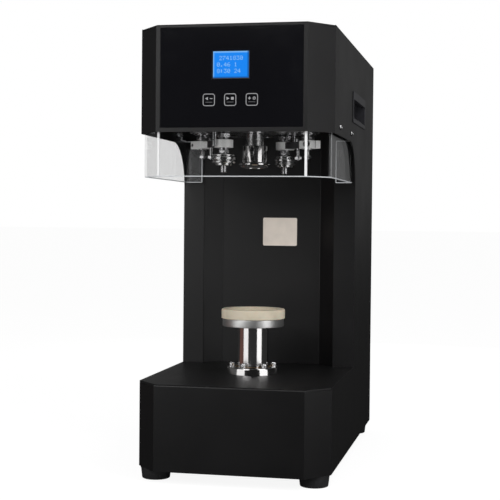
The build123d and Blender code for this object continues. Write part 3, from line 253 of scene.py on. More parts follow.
class Shop(Builder):
    """Builder of the shader tree of a material or of the world."""

    def __init__(self, name: str, owner: Optional[bpy.types.ID] = None) -> None:
        """Start an empty tree.

        Args:
            name: The material's name.
            owner: What the tree belongs to, or none for a new material.
        """
        self.owner = owner or bpy.data.materials.new(name)
        self.owner.use_nodes = True
        self.tree = self.owner.node_tree
        self.tree.nodes.clear()

    def wire(self, kind: str, inputs: dict, **settings: object) -> Wire:
        """Wire from the first output of a new node."""
        return Wire(self, self.node(kind, inputs, **settings).outputs[0])

    def spot(self, output: str = "Object") -> Socket:
        """Coordinates of a place on the piece, in metres."""
        return self.node("ShaderNodeTexCoord", {}).outputs[output]

    def apart(self, output: str = "Object") -> list[Wire]:
        """The three numbers of the coordinates."""
        parts = self.node("ShaderNodeSeparateXYZ", {0: self.spot(output)})
        return [Wire(self, part) for part in parts.outputs]

    def noise(self, scale: float, detail: float = 2.0, rough: float = 0.5,
              place: Optional[bpy.types.Node] = None) -> Wire:
        """Noise of one scale, about 0.5 on average.

        Args:
            scale: Features per metre.
            detail: Number of finer layers.
            rough: Share of the finer layers.
            place: Coordinates, or none for the object's own.

        Returns:
            The noise.
        """
        inputs = {"Vector": place or self.spot(), "Scale": scale, "Detail": detail, "Roughness": rough}
        return self.wire("ShaderNodeTexNoise", inputs, noise_dimensions="3D")

    def rings(self, scale: float) -> Wire:
        """Fine rings round the seaming axis.

        Args:
            scale: Rings per metre.

        Returns:
            The noise in rings.
        """
        x, y, z = self.apart()
        radius = distance(x, y, SEAMING_AXIS)
        return self.noise(scale, 2.0, 0.6, self.node("ShaderNodeCombineXYZ", {0: radius, 1: radius * 0.0, 2: z}))

    def blend(self, share: Wire, first: object, second: object) -> Socket:
        """Colour between two colours: the first where the share is 0, the second where it is 1."""
        inputs = {0: share, 6: first, 7: second}
        return self.node("ShaderNodeMix", inputs, data_type="RGBA", clamp_factor=True).outputs[2]

    def close(self, colour: object, rough: object, relief: Optional[Wire] = None, depth: float = 0.0,
              others: Optional[dict] = None) -> Material:
        """End the tree in one Principled shader.

        Args:
            colour: Its base colour.
            rough: Its roughness.
            relief: Relief from 0 to 1, or none for a smooth surface.
            depth: Depth of the whole relief, in metres.
            others: Further sockets and their values.

        Returns:
            The finished material.
        """
        values = {"Base Color": colour, "Roughness": rough, **(others or {})}
        if relief:
            values["Normal"] = self.node("ShaderNodeBump", {"Height": relief, "Distance": depth, "Strength": 1.0})
        self.node("ShaderNodeOutputMaterial", {"Surface": self.node("ShaderNodeBsdfPrincipled", values)})
        return self.owner


def distance(x: Wire, y: Wire, centre: Point) -> Wire:
    """Distance of a place from an upright axis in millimetres."""
    dx, dy = x - centre[0] * MM, y - centre[1] * MM
    return (dx * dx + dy * dy) ** 0.5


def tinted(colour: Colour, factor: float) -> Colour:
    """Colour made paler or darker."""
    return tuple(min(1.0, part * factor) for part in colour)


@dataclass(frozen=True)
class PowderCoat:
    """Fine matte powder coat: an even colour with a soft orange peel and tiny pits."""

    name: str = "charcoal powder coat"
    colour: Colour = (0.0028, 0.0026, 0.0031)
    paler: Colour = (0.0040, 0.0037, 0.0043)
    roughness: float = 0.44

    def build(self) -> Material:
        """Make the material."""
        shop = Shop(self.name)
        peel, grain, cloud = shop.noise(900.0), shop.noise(3800.0, 1.0), shop.noise(14.0, 3.0)
        share = cloud.between(0.35, 0.7) * 0.7 + grain * 0.3
        rough = self.roughness + (cloud - 0.5) * 0.10 + (grain - 0.5) * 0.12
        return shop.close(shop.blend(share, self.colour, self.paler), rough, peel * 0.6 + grain * 0.4, 0.00006,
                          {"Specular IOR Level": 0.5})


@dataclass(frozen=True)
class TurnedMetal:
    """Metal turned on a lathe: fine rings round an upright axis."""

    name: str
    colour: Colour = (0.62, 0.62, 0.63)
    roughness: float = 0.24
    depth: float = 0.000012

    def build(self) -> Material:
        """Make the material."""
        shop = Shop(self.name)
        rings, smudge = shop.rings(2600.0), shop.noise(70.0, 3.0)
        rough = self.roughness + (rings - 0.5) * 0.22 + smudge.between(0.45, 0.75) * 0.08
        colour = shop.blend(smudge.between(0.4, 0.8), self.colour, tinted(self.colour, 0.88))
        return shop.close(colour, rough, rings, self.depth, METAL)


@dataclass(frozen=True)
class MilledMetal:
    """Metal ground or milled in one direction, with faint stains."""

    name: str
    colour: Colour = (0.55, 0.55, 0.56)
    roughness: float = 0.32
    along: Colour = (60.0, 2400.0, 2400.0)
    depth: float = 0.00001
    stain: Colour = (0.42, 0.41, 0.40)

    def build(self) -> Material:
        """Make the material."""
        shop = Shop(self.name)
        x, y, z = (part * scale for part, scale in zip(shop.apart(), self.along))
        lines = shop.noise(1.0, 2.0, 0.6, shop.node("ShaderNodeCombineXYZ", {0: x, 1: y, 2: z}))
        stain = shop.noise(45.0, 4.0, 0.6)
        rough = self.roughness + (lines - 0.5) * 0.25 + stain.between(0.5, 0.8) * 0.1
        colour = shop.blend(stain.between(0.45, 0.8), self.colour, self.stain)
        return shop.close(colour, rough, lines, self.depth, METAL)


@dataclass(frozen=True)
class ArmSteel:
    """Roller arm steel with painted shade on the bar, and its eye and clamp painted pale and less metallic as a painted
    highlight.
    """

    name: str
    turn: float
    # The pale colour of the eye and clamp is a painted highlight; the dark colour of the bar is painted shade.
    bright: Colour = (0.94, 0.94, 0.93)
    dark: Colour = (0.13, 0.13, 0.135)
    eye: Point = (36.0, 30.0)
    eye_radius: float = 12.8
    clamp_start: float = 61.5
    soft: float = 0.2

    def build(self) -> Material:
        """Make the material."""
        shop = Shop(self.name)
        x, y, _ = shop.apart()
        across = x * self.turn
        reach = distance(across, (y - SEAMING_AXIS[1] * MM) * self.turn, self.eye)
        edge, start, soft = self.eye_radius, self.clamp_start, self.soft
        # The machined share below marks the painted highlight on the eye and clamp; the bar outside it takes painted
        # shade.
        boss = 1.0 - reach.between((edge - soft) * MM, (edge + soft) * MM)
        machined = boss.larger(across.between((start - soft) * MM, (start + soft) * MM))
        grain = shop.noise(900.0)
        return shop.close(shop.blend(machined, self.dark, self.bright), 0.46 + (grain - 0.5) * 0.2, grain, 0.00002,
                          {"Metallic": 1.0 - machined * 0.65})


@dataclass(frozen=True)
class PolishedChrome:
    """Polished hard chrome with a trace of handling."""

    name: str = "polished chrome"
    colour: Colour = (0.80, 0.785, 0.775)
    hazy: Colour = (0.72, 0.71, 0.71)
    roughness: float = 0.10

    def build(self) -> Material:
        """Make the material."""
        shop = Shop(self.name)
        haze, fine = shop.noise(55.0, 4.0, 0.6), shop.noise(1200.0, 1.0)
        rough = self.roughness + haze.between(0.5, 0.85) * 0.05 + fine * 0.02
        return shop.close(shop.blend(haze, self.colour, self.hazy), rough, fine, 0.000001, METAL)


@dataclass(frozen=True)
class Moulded:
    """Moulded plastic or rubber with a fine spark-eroded grain."""

    name: str
    colour: Colour
    roughness: float = 0.5
    grain: float = 2600.0
    depth: float = 0.00003
    wear: float = 1.5

    def build(self) -> Material:
        """Make the material."""
        shop = Shop(self.name)
        grain, dust = shop.noise(self.grain), shop.noise(38.0, 4.0, 0.6)
        rough = self.roughness + (grain - 0.5) * 0.2 + dust.between(0.5, 0.8) * 0.08
        colour = shop.blend(dust.between(0.4, 0.8), self.colour, tinted(self.colour, self.wear))
        return shop.close(colour, rough, grain, self.depth)


@dataclass(frozen=True)
class MachinedNylon:
    """Off-white nylon turned on a lathe, slightly translucent."""

    name: str = "machined nylon"
    colour: Colour = (0.61, 0.54, 0.42)
    shade: Colour = (0.52, 0.46, 0.35)

    def build(self) -> Material:
        """Make the material."""
        shop = Shop(self.name)
        rings, cloud = shop.rings(1500.0), shop.noise(60.0, 3.0)
        colour = shop.blend(cloud.between(0.35, 0.75), self.colour, self.shade)
        return shop.close(colour, 0.42 + (rings - 0.5) * 0.2, rings, 0.00004,
                          {"Subsurface Weight": 0.12, "Subsurface Scale": 0.004})


@dataclass(frozen=True)
class ClearSheet:
    """Clear acrylic: nearly unseen face on, and a mirror at a grazing look."""

    name: str = "clear acrylic"
    colour: Colour = (0.90, 0.91, 0.93)
    smeared: Colour = (0.96, 0.97, 0.98)
    body: float = 0.05
    sheen: float = 0.5

    def build(self) -> Material:
        """Make the material."""
        shop = Shop(self.name)
        slant = Wire(shop, shop.node("ShaderNodeLayerWeight", {"Blend": 0.5}).outputs["Facing"])
        smear = shop.noise(26.0, 3.0)
        cover = self.body + slant ** 5.0 * self.sheen + smear.between(0.5, 0.8) * 0.012
        return shop.close(shop.blend(smear, self.colour, self.smeared), 0.02 + smear.between(0.55, 0.85) * 0.05,
                          others={**METAL, "Alpha": cover})


@dataclass(frozen=True)
class SheetHighlight:
    """Rim or bend of the clear sheet, made pale and less clear: a painted highlight on the bends, and on the
    flame-polished rim partly the edge's own frosting and partly a painted highlight.
    """

    name: str
    colour: Colour
    body: float

    def build(self) -> Material:
        """Make the material."""
        shop = Shop(self.name)
        saw = shop.noise(260.0, 3.0)
        return shop.close(shop.blend(saw, self.colour, tinted(self.colour, 1.25)), 0.12 + saw * 0.2, saw, 0.00003,
                          {"Alpha": self.body + saw * 0.15})


@dataclass(frozen=True)
class BackPaintedGlass:
    """Clear glass over a black layer."""

    name: str = "black glass"
    colour: Colour = (0.0040, 0.0040, 0.0052)
    smeared: Colour = (0.0056, 0.0056, 0.0070)

    def build(self) -> Material:
        """Make the material."""
        shop = Shop(self.name)
        smear = shop.noise(18.0, 4.0, 0.6)
        return shop.close(shop.blend(smear, self.colour, self.smeared), 0.06 + smear.between(0.5, 0.85) * 0.08,
                          others={"Specular IOR Level": 0.5, "Coat Weight": 0.3, "Coat Roughness": 0.03})


@dataclass(frozen=True)
class Print:
    """Screen print on the glass or a mark on the rocker."""

    name: str
    colour: Colour
    roughness: float = 0.5

    def build(self) -> Material:
        """Make the material."""
        shop = Shop(self.name)
        ink = shop.noise(3000.0)
        return shop.close(shop.blend(ink.between(0.3, 0.7), self.colour, tinted(self.colour, 0.82)),
                          self.roughness + (ink - 0.5) * 0.1)


@dataclass(frozen=True)
class LitPanel:
    """Lit display: an even glow with a paler band along the top and left edges as a painted highlight, a darker band
    along the bottom and right edges as painted shadow, and a fine cell grid.
    """

    name: str
    colour: Colour
    # Colour of the painted highlight band along the top and left edges.
    pale: Colour
    strength: float
    band_z: float = 540.7
    band_x: float = -23.2
    cell: float = 0.75

    def build(self) -> Material:
        """Make the material."""
        shop = Shop(self.name)
        x, _, z = shop.apart()
        # Painted highlight: a paler band along the top and left edges, also lighter in the base colour.
        top = z.between((self.band_z - 2.6) * MM, (self.band_z - 0.8) * MM)
        side = 1.0 - x.between((self.band_x + 0.6) * MM, (self.band_x + 2.0) * MM)
        cells = [(part * (2 * math.pi / (self.cell * MM))).sine().above(0.9) for part in (x, z)]
        share = top.larger(side) * 0.8 + cells[0].larger(cells[1]) * 0.02
        # Painted shadow: a darker band along the bottom and right edges.
        low = 1.0 - z.between((self.band_z - 32.6) * MM, (self.band_z - 30.2) * MM)
        right = x.between((self.band_x + 42.4) * MM, (self.band_x + 44.4) * MM)
        lit = shop.blend(share, self.colour, self.pale)
        glow = shop.blend(low.larger(right) * 0.8, lit, tinted(self.colour, 0.35))
        return shop.close(shop.blend(share, (0.0, 0.004, 0.012), (0.01, 0.02, 0.04)), 0.4, others={
            "Specular IOR Level": 0.1, "Emission Color": glow, "Emission Strength": self.strength})


@dataclass(frozen=True)
class BoardResist:
    """Green solder resist with copper tracks that show through."""

    name: str = "circuit board resist"
    colour: Colour = (0.010, 0.090, 0.030)
    track: Colour = (0.018, 0.150, 0.050)

    def build(self) -> Material:
        """Make the material."""
        shop = Shop(self.name)
        x, _, z = shop.apart()
        bend = shop.noise(90.0, 0.0)
        lines = (x * 2600.0 + bend * 9.0).sine().above(0.55)
        tracks = lines.larger((z * 2100.0 + bend * 7.0).sine().above(0.75))
        return shop.close(shop.blend(tracks, self.colour, self.track), 0.32 - tracks * 0.08, tracks, 0.00003)


@dataclass(frozen=True)
class PlainFilm:
    """Pale self-adhesive film with a hint of unevenness."""

    name: str = "pale film"
    colour: Colour = (0.76, 0.68, 0.60)
    stain: Colour = (0.68, 0.61, 0.54)

    def build(self) -> Material:
        """Make the material."""
        shop = Shop(self.name)
        fibre, stain = shop.noise(700.0, 3.0, 0.6), shop.noise(60.0, 3.0)
        return shop.close(shop.blend(stain.between(0.3, 0.8), self.colour, self.stain), 0.55 + (fibre - 0.5) * 0.2,
                          fibre, 0.00002)


class Finishes(dict):
    """Every finish of the machine by name; a material is built when it is first asked for."""

    listed = {finish.name: finish for finish in (
        PowderCoat(),
        PolishedChrome(),
        TurnedMetal("turned steel"),
        TurnedMetal("satin aluminium", (0.86, 0.86, 0.85), 0.40),
        TurnedMetal("ground tool steel", (0.72, 0.72, 0.72), 0.21, 0.000006),
        TurnedMetal("plain bronze", (0.50, 0.31, 0.12), 0.28),
        # Arm finishes: painted shade on the bar and a painted highlight on the eye and clamp.
        ArmSteel("first arm steel", -1.0),
        ArmSteel("second arm steel", 1.0),
        MilledMetal("milled steel", (0.68, 0.68, 0.68), 0.38),
        MilledMetal("cast aluminium", (0.60, 0.60, 0.61), 0.42, (900.0, 900.0, 900.0), 0.00003, (0.5, 0.5, 0.5)),
        MilledMetal("zinc sheet", (0.50, 0.51, 0.53), 0.38, (120.0, 120.0, 900.0), 0.000008, (0.40, 0.41, 0.42)),
        MilledMetal("bright fastener", (0.66, 0.66, 0.67), 0.2, (300.0, 300.0, 1800.0), 0.000004, (0.5, 0.5, 0.5)),
        MilledMetal("tinned pin", (0.62, 0.61, 0.58), 0.25, (300.0, 300.0, 300.0), 0.000004, (0.5, 0.48, 0.44)),
        MachinedNylon(),
        ClearSheet(),
        # Painted highlights on the guard: rim partly its own frosted edge, front bends brighter than the side bends.
        SheetHighlight("acrylic edge", (0.62, 0.64, 0.66), 0.72),
        SheetHighlight("acrylic front bend", (0.86, 0.87, 0.88), 0.70),
        SheetHighlight("acrylic side bend", (0.55, 0.56, 0.57), 0.22),
        BackPaintedGlass(),
        Moulded("black plastic", (0.0190, 0.0190, 0.0230), 0.42),
        Moulded("foot rubber", (0.010, 0.010, 0.011), 0.62, 1400.0, 0.00005, 2.4),
        Moulded("belt rubber", (0.012, 0.012, 0.012), 0.66, 1800.0, 0.00004, 1.8),
        Moulded("black oxide", (0.022, 0.022, 0.024), 0.34, 3200.0, 0.00001, 1.6),
        Moulded("motor enamel", (0.016, 0.016, 0.019), 0.36, 1600.0),
        Moulded("chip resin", (0.012, 0.012, 0.012), 0.42, 3000.0, 0.00002, 1.6),
        Moulded("terminal resin", (0.022, 0.030, 0.026), 0.45, 2400.0, 0.00002, 1.4),
        Print("key outline", (0.30, 0.30, 0.31)),
        Print("key sign", (0.34, 0.34, 0.35)),
        Print("faint key line", (0.10, 0.10, 0.105)),
        Print("white rocker mark", (0.60, 0.60, 0.58)),
        # Display glows with a painted highlight band at the top and left edges and a painted shadow band at the bottom
        # and right edges.
        LitPanel("display glow", (0.004, 0.24, 0.92), (0.22, 0.52, 0.90), 0.95),
        LitPanel("display figures", (0.34, 0.66, 0.98), (0.50, 0.76, 0.98), 0.9),
        BoardResist(),
        PlainFilm(),
    )}

    def __missing__(self, name: str) -> Material:
        """Build a material on first use."""
        self[name] = self.listed[name].build()
        return self[name]


FINISH = Finishes()


class Recipe(Builder):
    """A Geometry Nodes tree with named sizes, turned into one plain mesh at the end."""

    kinds = {int: "NodeSocketInt", float: "NodeSocketFloat", Vector: "NodeSocketVector",
             Piece: "NodeSocketObject"}

    def __init__(self, name: str, sizes: dict[str, object]) -> None:
        """Start a tree and add its inputs.

        Args:
            name: The tree's and the piece's name.
            sizes: Value of each named input.
        """
        self.name = name
        self.tree = bpy.data.node_groups.new(name, "GeometryNodeTree")
        self.values = {}
        for label, value in sizes.items():
            item = self.tree.interface.new_socket(name=label, in_out="INPUT", socket_type=self.kinds[type(value)])
            self.values[item.identifier] = value
        self.source = self.tree.nodes.new("NodeGroupInput")

    def __getitem__(self, label: str) -> Socket:
        """Socket of a named size inside the tree."""
        return self.source.outputs[label]

    def bake(self, shape: object, finish: str) -> Piece:
        """End the tree, run it and keep the plain mesh.

        Args:
            shape: The geometry to keep.
            finish: The finish's name.

        Returns:
            The new object.
        """
        real = self.node("GeometryNodeRealizeInstances", {0: shape})
        dressed = self.node("GeometryNodeSetMaterial", {0: real, "Material": FINISH[finish]})
        self.tree.interface.new_socket(name="Geometry", in_out="OUTPUT", socket_type="NodeSocketGeometry")
        self.node("NodeGroupOutput", {0: dressed})
        holder = new_object(self.name, bpy.data.meshes.new(self.name))
        modifier = holder.modifiers.new(self.name, "NODES")
        modifier.node_group = self.tree
        for identifier, value in self.values.items():
            modifier[identifier] = value
        return settle(holder)


def new_object(name: str, data: bpy.types.ID) -> Piece:
    """Link a mesh, lamp or camera into the scene as an object at the origin."""
    made = bpy.data.objects.new(name, data)
    bpy.context.scene.collection.objects.link(made)
    return made


def settle(holder: Piece) -> Piece:
    """Turn an object with modifiers into a plain mesh with soft shading.

    Args:
        holder: The object.

    Returns:
        The object, with its modifiers applied.
    """
    kinds = {modifier.type for modifier in holder.modifiers}
    if "NODES" not in kinds:
        holder.data.shade_smooth()
        if "BEVEL" not in kinds:
            holder.data.set_sharp_from_angle(angle=SHARP_ANGLE)
        weighted = holder.modifiers.new("even faces", "WEIGHTED_NORMAL")
        weighted.keep_sharp = True
        weighted.weight = 90
    bpy.context.view_layer.update()
    graph = bpy.context.evaluated_depsgraph_get()
    mesh = bpy.data.meshes.new_from_object(holder.evaluated_get(graph))
    holder.modifiers.clear()
    mesh.name = holder.name
    holder.data = mesh
    if "NODES" in kinds:
        mesh.shade_smooth()
        mesh.set_sharp_from_angle(angle=SHARP_ANGLE)
    return holder


def fit(piece: Piece, body: Body, slot: str, *nodes: str) -> None:
    """Tie a finished piece to its body, its record slot and the nodes that it stands for.

    Args:
        piece: The finished piece.
        body: The body that it moves with.
        slot: The record's material slot.
        nodes: The CAD nodes that it replaces.
    """
    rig.ride(piece, body.value)
    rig.slot(piece, slot)
    if nodes:
        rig.replaces(piece, *nodes)
    LOG.info("%s rides on %s", piece.name, body.value)


def from_faces(name: str, points: Iterable[Sequence[float]], faces: Iterable[Sequence[int]],
               finish: str) -> Piece:
    """Mesh from points in millimetres, with its normals turned outwards.

    Args:
        name: The piece's name.
        points: Corner points in millimetres.
        faces: Corner numbers of each face.
        finish: The finish's name.

    Returns:
        The new object.
    """
    mesh = bpy.data.meshes.new(name)
    mesh.from_pydata([[part * MM for part in point] for point in points], [], [list(face) for face in faces])
    mesh.materials.append(FINISH[finish])
    work = bmesh.new()
    work.from_mesh(mesh)
    bmesh.ops.remove_doubles(work, verts=work.verts, dist=1e-7)
    bmesh.ops.recalc_face_normals(work, faces=work.faces)
    work.to_mesh(mesh)
    work.free()
    return new_object(name, mesh)


def add_bevel(piece: Piece, width: float, angle: float = 30.0, material: int = -1) -> None:
    """Round the sharp edges.

    Args:
        piece: The piece.
        width: Width of the rounding, in millimetres.
        angle: Edges sharper than this are rounded, in degrees.
        material: Number of the finish that the rounding takes, or -1 for that of the faces beside it.
    """
    modifier = piece.modifiers.new("rounding", "BEVEL")
    modifier.width = width * MM
    modifier.segments = 2
    modifier.limit_method = "ANGLE"
    modifier.angle_limit = math.radians(angle)
    modifier.use_clamp_overlap = False
    modifier.material = material


def turned(name: str, profile: Sequence[Point], finish: str, steps: int, centre: Point = SEAMING_AXIS,
           outline: Optional[Outline] = None, rounding: float = 0.0) -> Piece:
    """Solid turned round an upright axis from a closed profile, all sizes in millimetres.

    Args:
        name: The piece's name.
        profile: Points (radius, height) in order round the section.
        finish: The finish's name.
        steps: Number of steps round the axis.
        centre: Place of the axis.
        outline: Gives the radius for a nominal radius and an angle, for flats and knurls.
        rounding: Width of the edge rounding.

    Returns:
        The new object.
    """
    points: list[Sequence[float]] = []
    rows: list[list[int]] = []
    for radius, height in profile:
        if radius == 0:
            rows.append([len(points)] * steps)
            points.append((*centre, height))
            continue
        rows.append(list(range(len(points), len(points) + steps)))
        for turn in (2 * math.pi * step / steps for step in range(steps)):
            reach = outline(radius, turn) if outline else radius
            points.append((centre[0] + reach * math.cos(turn), centre[1] + reach * math.sin(turn), height))
    faces = []
    for low, high in zip(rows, rows[1:] + rows[:1]):
        for step in range(steps):
            after = (step + 1) % steps
            corners = list(dict.fromkeys((low[step], low[after], high[after], high[step])))
            if len(corners) > 2:
                faces.append(corners)
    piece = from_faces(name, points, faces, finish)
    if rounding:
        add_bevel(piece, rounding)
    return settle(piece)


def flat_reach(across_flats: float, turn: float) -> float:
    """Distance from the middle of a hexagon to its outline at an angle."""
    return across_flats / 2 / math.cos((turn + math.pi / 6) % (math.pi / 3) - math.pi / 6)


def socket_outline(across_flats: float, margin: float = 0.01) -> Outline:
    """Outline of a hexagon socket.

    Args:
        across_flats: Width across the flats.
        margin: How far past half that width a nominal radius is still the hexagon's.

    Returns:
        A function of the nominal radius and the angle.
    """
    def reach(radius: float, turn: float) -> float:
        """Radius at an angle."""
        return radius if radius > across_flats / 2 + margin else flat_reach(across_flats, turn)
    return reach


def shank_profile(shank: float, length: float) -> list[Point]:
    """Section of a screw under its head."""
    return [(0, -length), (shank * 0.8, -length), (shank, -length + shank * 0.3), (shank, 0)]


def cap_screw(name: str, length: float) -> Piece:
    """Socket cap screw for a 5 mm thread at the origin: its seat at height 0, a knurled head above and the shank below.

    Args:
        name: The piece's name.
        length: Length of the shank, in millimetres.

    Returns:
        The screw.
    """
    head, height, shank, key = 4.25, 5.0, 2.5, 4.0
    socket = socket_outline(key)

    def knurled(radius: float, turn: float) -> float:
        """Head radius with a fine knurl, and the socket's flats."""
        return radius - 0.12 * (math.sin(turn * 30) > 0) if abs(radius - head) < 0.01 else socket(radius, turn)

    inner = key / 2
    profile = [*shank_profile(shank, length), (head - 0.3, 0), (head, 0.4), (head, height - 0.9),
               (head - 0.15, height - 0.7), (head - 0.6, height), (inner + 0.5, height), (inner, height - 0.4),
               (inner, height * 0.35), (0, height * 0.3)]
    return turned(name, profile, "bright fastener", 60, ORIGIN, knurled)


def button_screw(name: str, length: float, head: float = 3.6, height: float = 2.2,
                 shank: float = 2.0) -> Piece:
    """Button-head screw at the origin: its seat at height 0, a domed head above and the shank below.

    Args:
        name: The piece's name.
        length: Length of the shank.
        head: Radius of the head.
        height: Height of the head.
        shank: Radius of the shank.

    Returns:
        The screw, all sizes in millimetres.
    """
    key = 2.5
    inner = key / 2
    dome = [(head * math.cos(t), 0.25 * height + 0.75 * height * math.sin(t)) for t in (0.0, 0.35, 0.7, 1.0)]
    profile = [*shank_profile(shank, length), (head, 0), *dome, (inner + 0.25, height), (inner, height - 0.2),
               (inner, height * 0.3), (0, height * 0.25)]
    return turned(name, profile, "bright fastener", 48, ORIGIN, socket_outline(key))


def nut(name: str, across_flats: float, z0: float, z1: float, centre: Point, finish: str, bore: float = 0.0,
        turn: float = 0.0) -> Piece:
    """Hexagon nut or head, whose corners are cut by a cone.

    Args:
        name: The piece's name.
        across_flats: Width across the flats.
        z0: Lower face.
        z1: Upper face.
        centre: Place of its axis.
        finish: The finish's name.
        bore: Radius of its hole, or 0 for none.
        turn: Turn about its axis, in degrees.

    Returns:
        The nut, all sizes in millimetres.
    """
    corner = across_flats / math.sqrt(3)
    flat = across_flats / 2
    cone = flat * 0.955
    cut = (corner - cone) * 0.42

    def outline(radius: float, angle: float) -> float:
        """Radius at an angle."""
        return radius if radius < flat * 0.97 else min(radius, flat_reach(across_flats, angle - math.radians(turn)))

    profile = [(bore, z0), (cone, z0), (flat, z0 + cut * 0.3), (corner, z0 + cut), (corner, z1 - cut),
               (flat, z1 - cut * 0.3), (cone, z1), (bore, z1)]
    return turned(name, profile, finish, 96, centre, outline)


def merge(name: str, parts: Sequence[Piece]) -> Piece:
    """Join finished meshes into one object.

    Args:
        name: The new piece's name.
        parts: The meshes, which are used up.

    Returns:
        The joined object.
    """
    materials: list[Material] = []
    work = bmesh.new()
    for part in parts:
        indices = []
        for material in part.data.materials:
            if material not in materials:
                materials.append(material)
            indices.append(materials.index(material))
        before = len(work.faces)
        work.from_mesh(part.data)
        work.faces.ensure_lookup_table()
        for face in work.faces[before:]:
            face.material_index = indices[min(face.material_index, len(indices) - 1)]
    mesh = bpy.data.meshes.new(name)
    work.to_mesh(mesh)
    work.free()
    for material in materials:
        mesh.materials.append(material)
    for part in parts:
        bpy.data.objects.remove(part)
    return settle(new_object(name, mesh))


def at(*place: float) -> Matrix:
    """Shift to a place in millimetres."""
    return Matrix.Translation([part * MM for part in place])


def spin(degrees: float, axis: str) -> Matrix:
    """Turn about an axis through the origin."""
    return Matrix.Rotation(math.radians(degrees), 4, axis)


def moved(piece: Piece, place: Matrix) -> Piece:
    """Apply a place to a mesh, so that its object stays at the origin."""
    piece.data.transform(place)
    return piece


def cut_out(piece: Piece, cutter: Piece) -> Piece:
    """Take one piece out of another.

    Args:
        piece: The piece that is cut.
        cutter: The shape that is taken away, which is used up.

    Returns:
        The cut piece.
    """
    cut = piece.modifiers.new("cut", "BOOLEAN")
    cut.object = cutter
    cut.solver = "EXACT"
    settle(piece)
    bpy.data.objects.remove(cutter)
    return piece


def carried(node: str, body: Body, slot: str, finish: str, rounding: float, angle: float = 30.0,
            others: Sequence[tuple[str, Callable[[Face], bool]]] = (), rim: int = -1) -> None:
    """Copy of a CAD node with merged corners and rounded edges, which stands for the node.

    Args:
        node: The CAD node.
        body: Its body.
        slot: The record's material slot.
        finish: The finish's name.
        rounding: Width of the edge rounding, in millimetres.
        angle: Edges sharper than this are rounded, in degrees.
        others: Further finishes, each with a test that picks its faces before the rounding.
        rim: Number of the finish that the rounding takes, or -1 for that of the faces beside it.
    """
    mesh = frame["nodes"][node].data.copy()
    mesh.name = f"{node}_dressed"
    work = bmesh.new()
    work.from_mesh(mesh)
    bmesh.ops.remove_doubles(work, verts=work.verts, dist=SHEET_MERGE)
    bmesh.ops.dissolve_limit(work, angle_limit=math.radians(0.8), verts=work.verts, edges=work.edges,
                             delimit={"NORMAL"})
    work.to_mesh(mesh)
    work.free()
    mesh.materials.clear()
    for name in (finish, *(other for other, _ in others)):
        mesh.materials.append(FINISH[name])
    for face in mesh.polygons:
        picked = [number for number, (_, test) in enumerate(others, 1) if test(face)]
        face.material_index = picked[0] if picked else 0
    piece = new_object(mesh.name, mesh)
    add_bevel(piece, rounding, angle, rim)
    fit(settle(piece), body, slot, node)


def row_of(name: str, piece: Piece, places: Sequence[Sequence[float]], finish: str,
           tilt: Sequence[float] = (0, 0, 0)) -> Piece:
    """Copies of a small piece at listed places, all turned alike.

    Args:
        name: The new piece's name.
        piece: The small piece, made at the origin, which is used up.
        places: Places in millimetres.
        finish: The finish's name.
        tilt: Turn about X, Y and Z in degrees.

    Returns:
        The new object.
    """
    dots = bpy.data.meshes.new(f"{name}_places")
    dots.from_pydata([[part * MM for part in place] for place in places], [], [])
    marker = new_object(f"{name}_places", dots)
    turn = Vector([math.radians(part) for part in tilt])
    recipe = Recipe(name, {"Piece": piece, "Places": marker, "Turn": turn})
    shape, points = (recipe.node("GeometryNodeObjectInfo", {"Object": recipe[label], "As Instance": whole})
                     .outputs["Geometry"] for label, whole in (("Piece", True), ("Places", False)))
    inputs = {"Points": points, "Instance": shape, "Rotation": recipe["Turn"]}
    made = recipe.bake(recipe.node("GeometryNodeInstanceOnPoints", inputs), finish)
    bpy.data.objects.remove(piece)
    bpy.data.objects.remove(marker)
    return made


def coil(name: str, radius: float, wire: float, turns: float, height: float, place: Sequence[float],
         finish: str, per_turn: int) -> Piece:
    """Round wire wound to a helix, for a spring or a thread's crest.

    Args:
        name: The piece's name.
        radius: Mean radius of the winding.
        wire: Radius of the wire.
        turns: Number of turns.
        height: Rise of the whole winding.
        place: Middle of its foot.
        finish: The finish's name.
        per_turn: Steps in each turn.

    Returns:
        The coil, all sizes in millimetres.
    """
    recipe = Recipe(name, {"Mean radius": radius * MM, "Wire radius": wire * MM, "Turns": turns,
                           "Rise": height * MM, "Foot": Vector(place) * MM})
    mean = recipe["Mean radius"]
    line = recipe.node("GeometryNodeCurveSpiral", {"Resolution": per_turn, "Rotations": recipe["Turns"],
                                                   "Start Radius": mean, "End Radius": mean, "Height": recipe["Rise"]})
    section = recipe.node("GeometryNodeCurvePrimitiveCircle", {"Resolution": 10, "Radius": recipe["Wire radius"]})
    tube = recipe.node("GeometryNodeCurveToMesh", {"Curve": line, "Profile Curve": section, "Fill Caps": True})
    return recipe.bake(recipe.node("GeometryNodeTransform", {0: tube, "Translation": recipe["Foot"]}), finish)


def plate(name: str, outline: Sequence[Point], y0: float, y1: float, finish: str) -> Piece:
    """Flat piece that faces the front, from an outline in X and Z.

    Args:
        name: The piece's name.
        outline: Corners (x, z) in order.
        y0: Front face.
        y1: Rear face.
        finish: The finish's name.

    Returns:
        The plate, all sizes in millimetres.
    """
    count = len(outline)
    points = [(x, y, z) for y in (y0, y1) for x, z in outline]
    faces = [list(range(count)), list(range(2 * count - 1, count - 1, -1))]
    faces += [[i, (i + 1) % count, count + (i + 1) % count, count + i] for i in range(count)]
    return from_faces(name, points, faces, finish)


def rounded(width: float, height: float, radius: float, centre: Point = ORIGIN) -> list[Point]:
    """Corners of a rounded rectangle.

    Args:
        width: Width.
        height: Height.
        radius: Corner radius.
        centre: Its middle.

    Returns:
        Points in order.
    """
    outline = []
    steps = 5
    for quarter, (sx, sz) in enumerate(((1, 1), (-1, 1), (-1, -1), (1, -1))):
        for step in range(steps + 1):
            turn = math.pi / 2 * (quarter + step / steps)
            outline.append((centre[0] + sx * (width / 2 - radius) + radius * math.cos(turn),
                            centre[1] + sz * (height / 2 - radius) + radius * math.sin(turn)))
    return outline


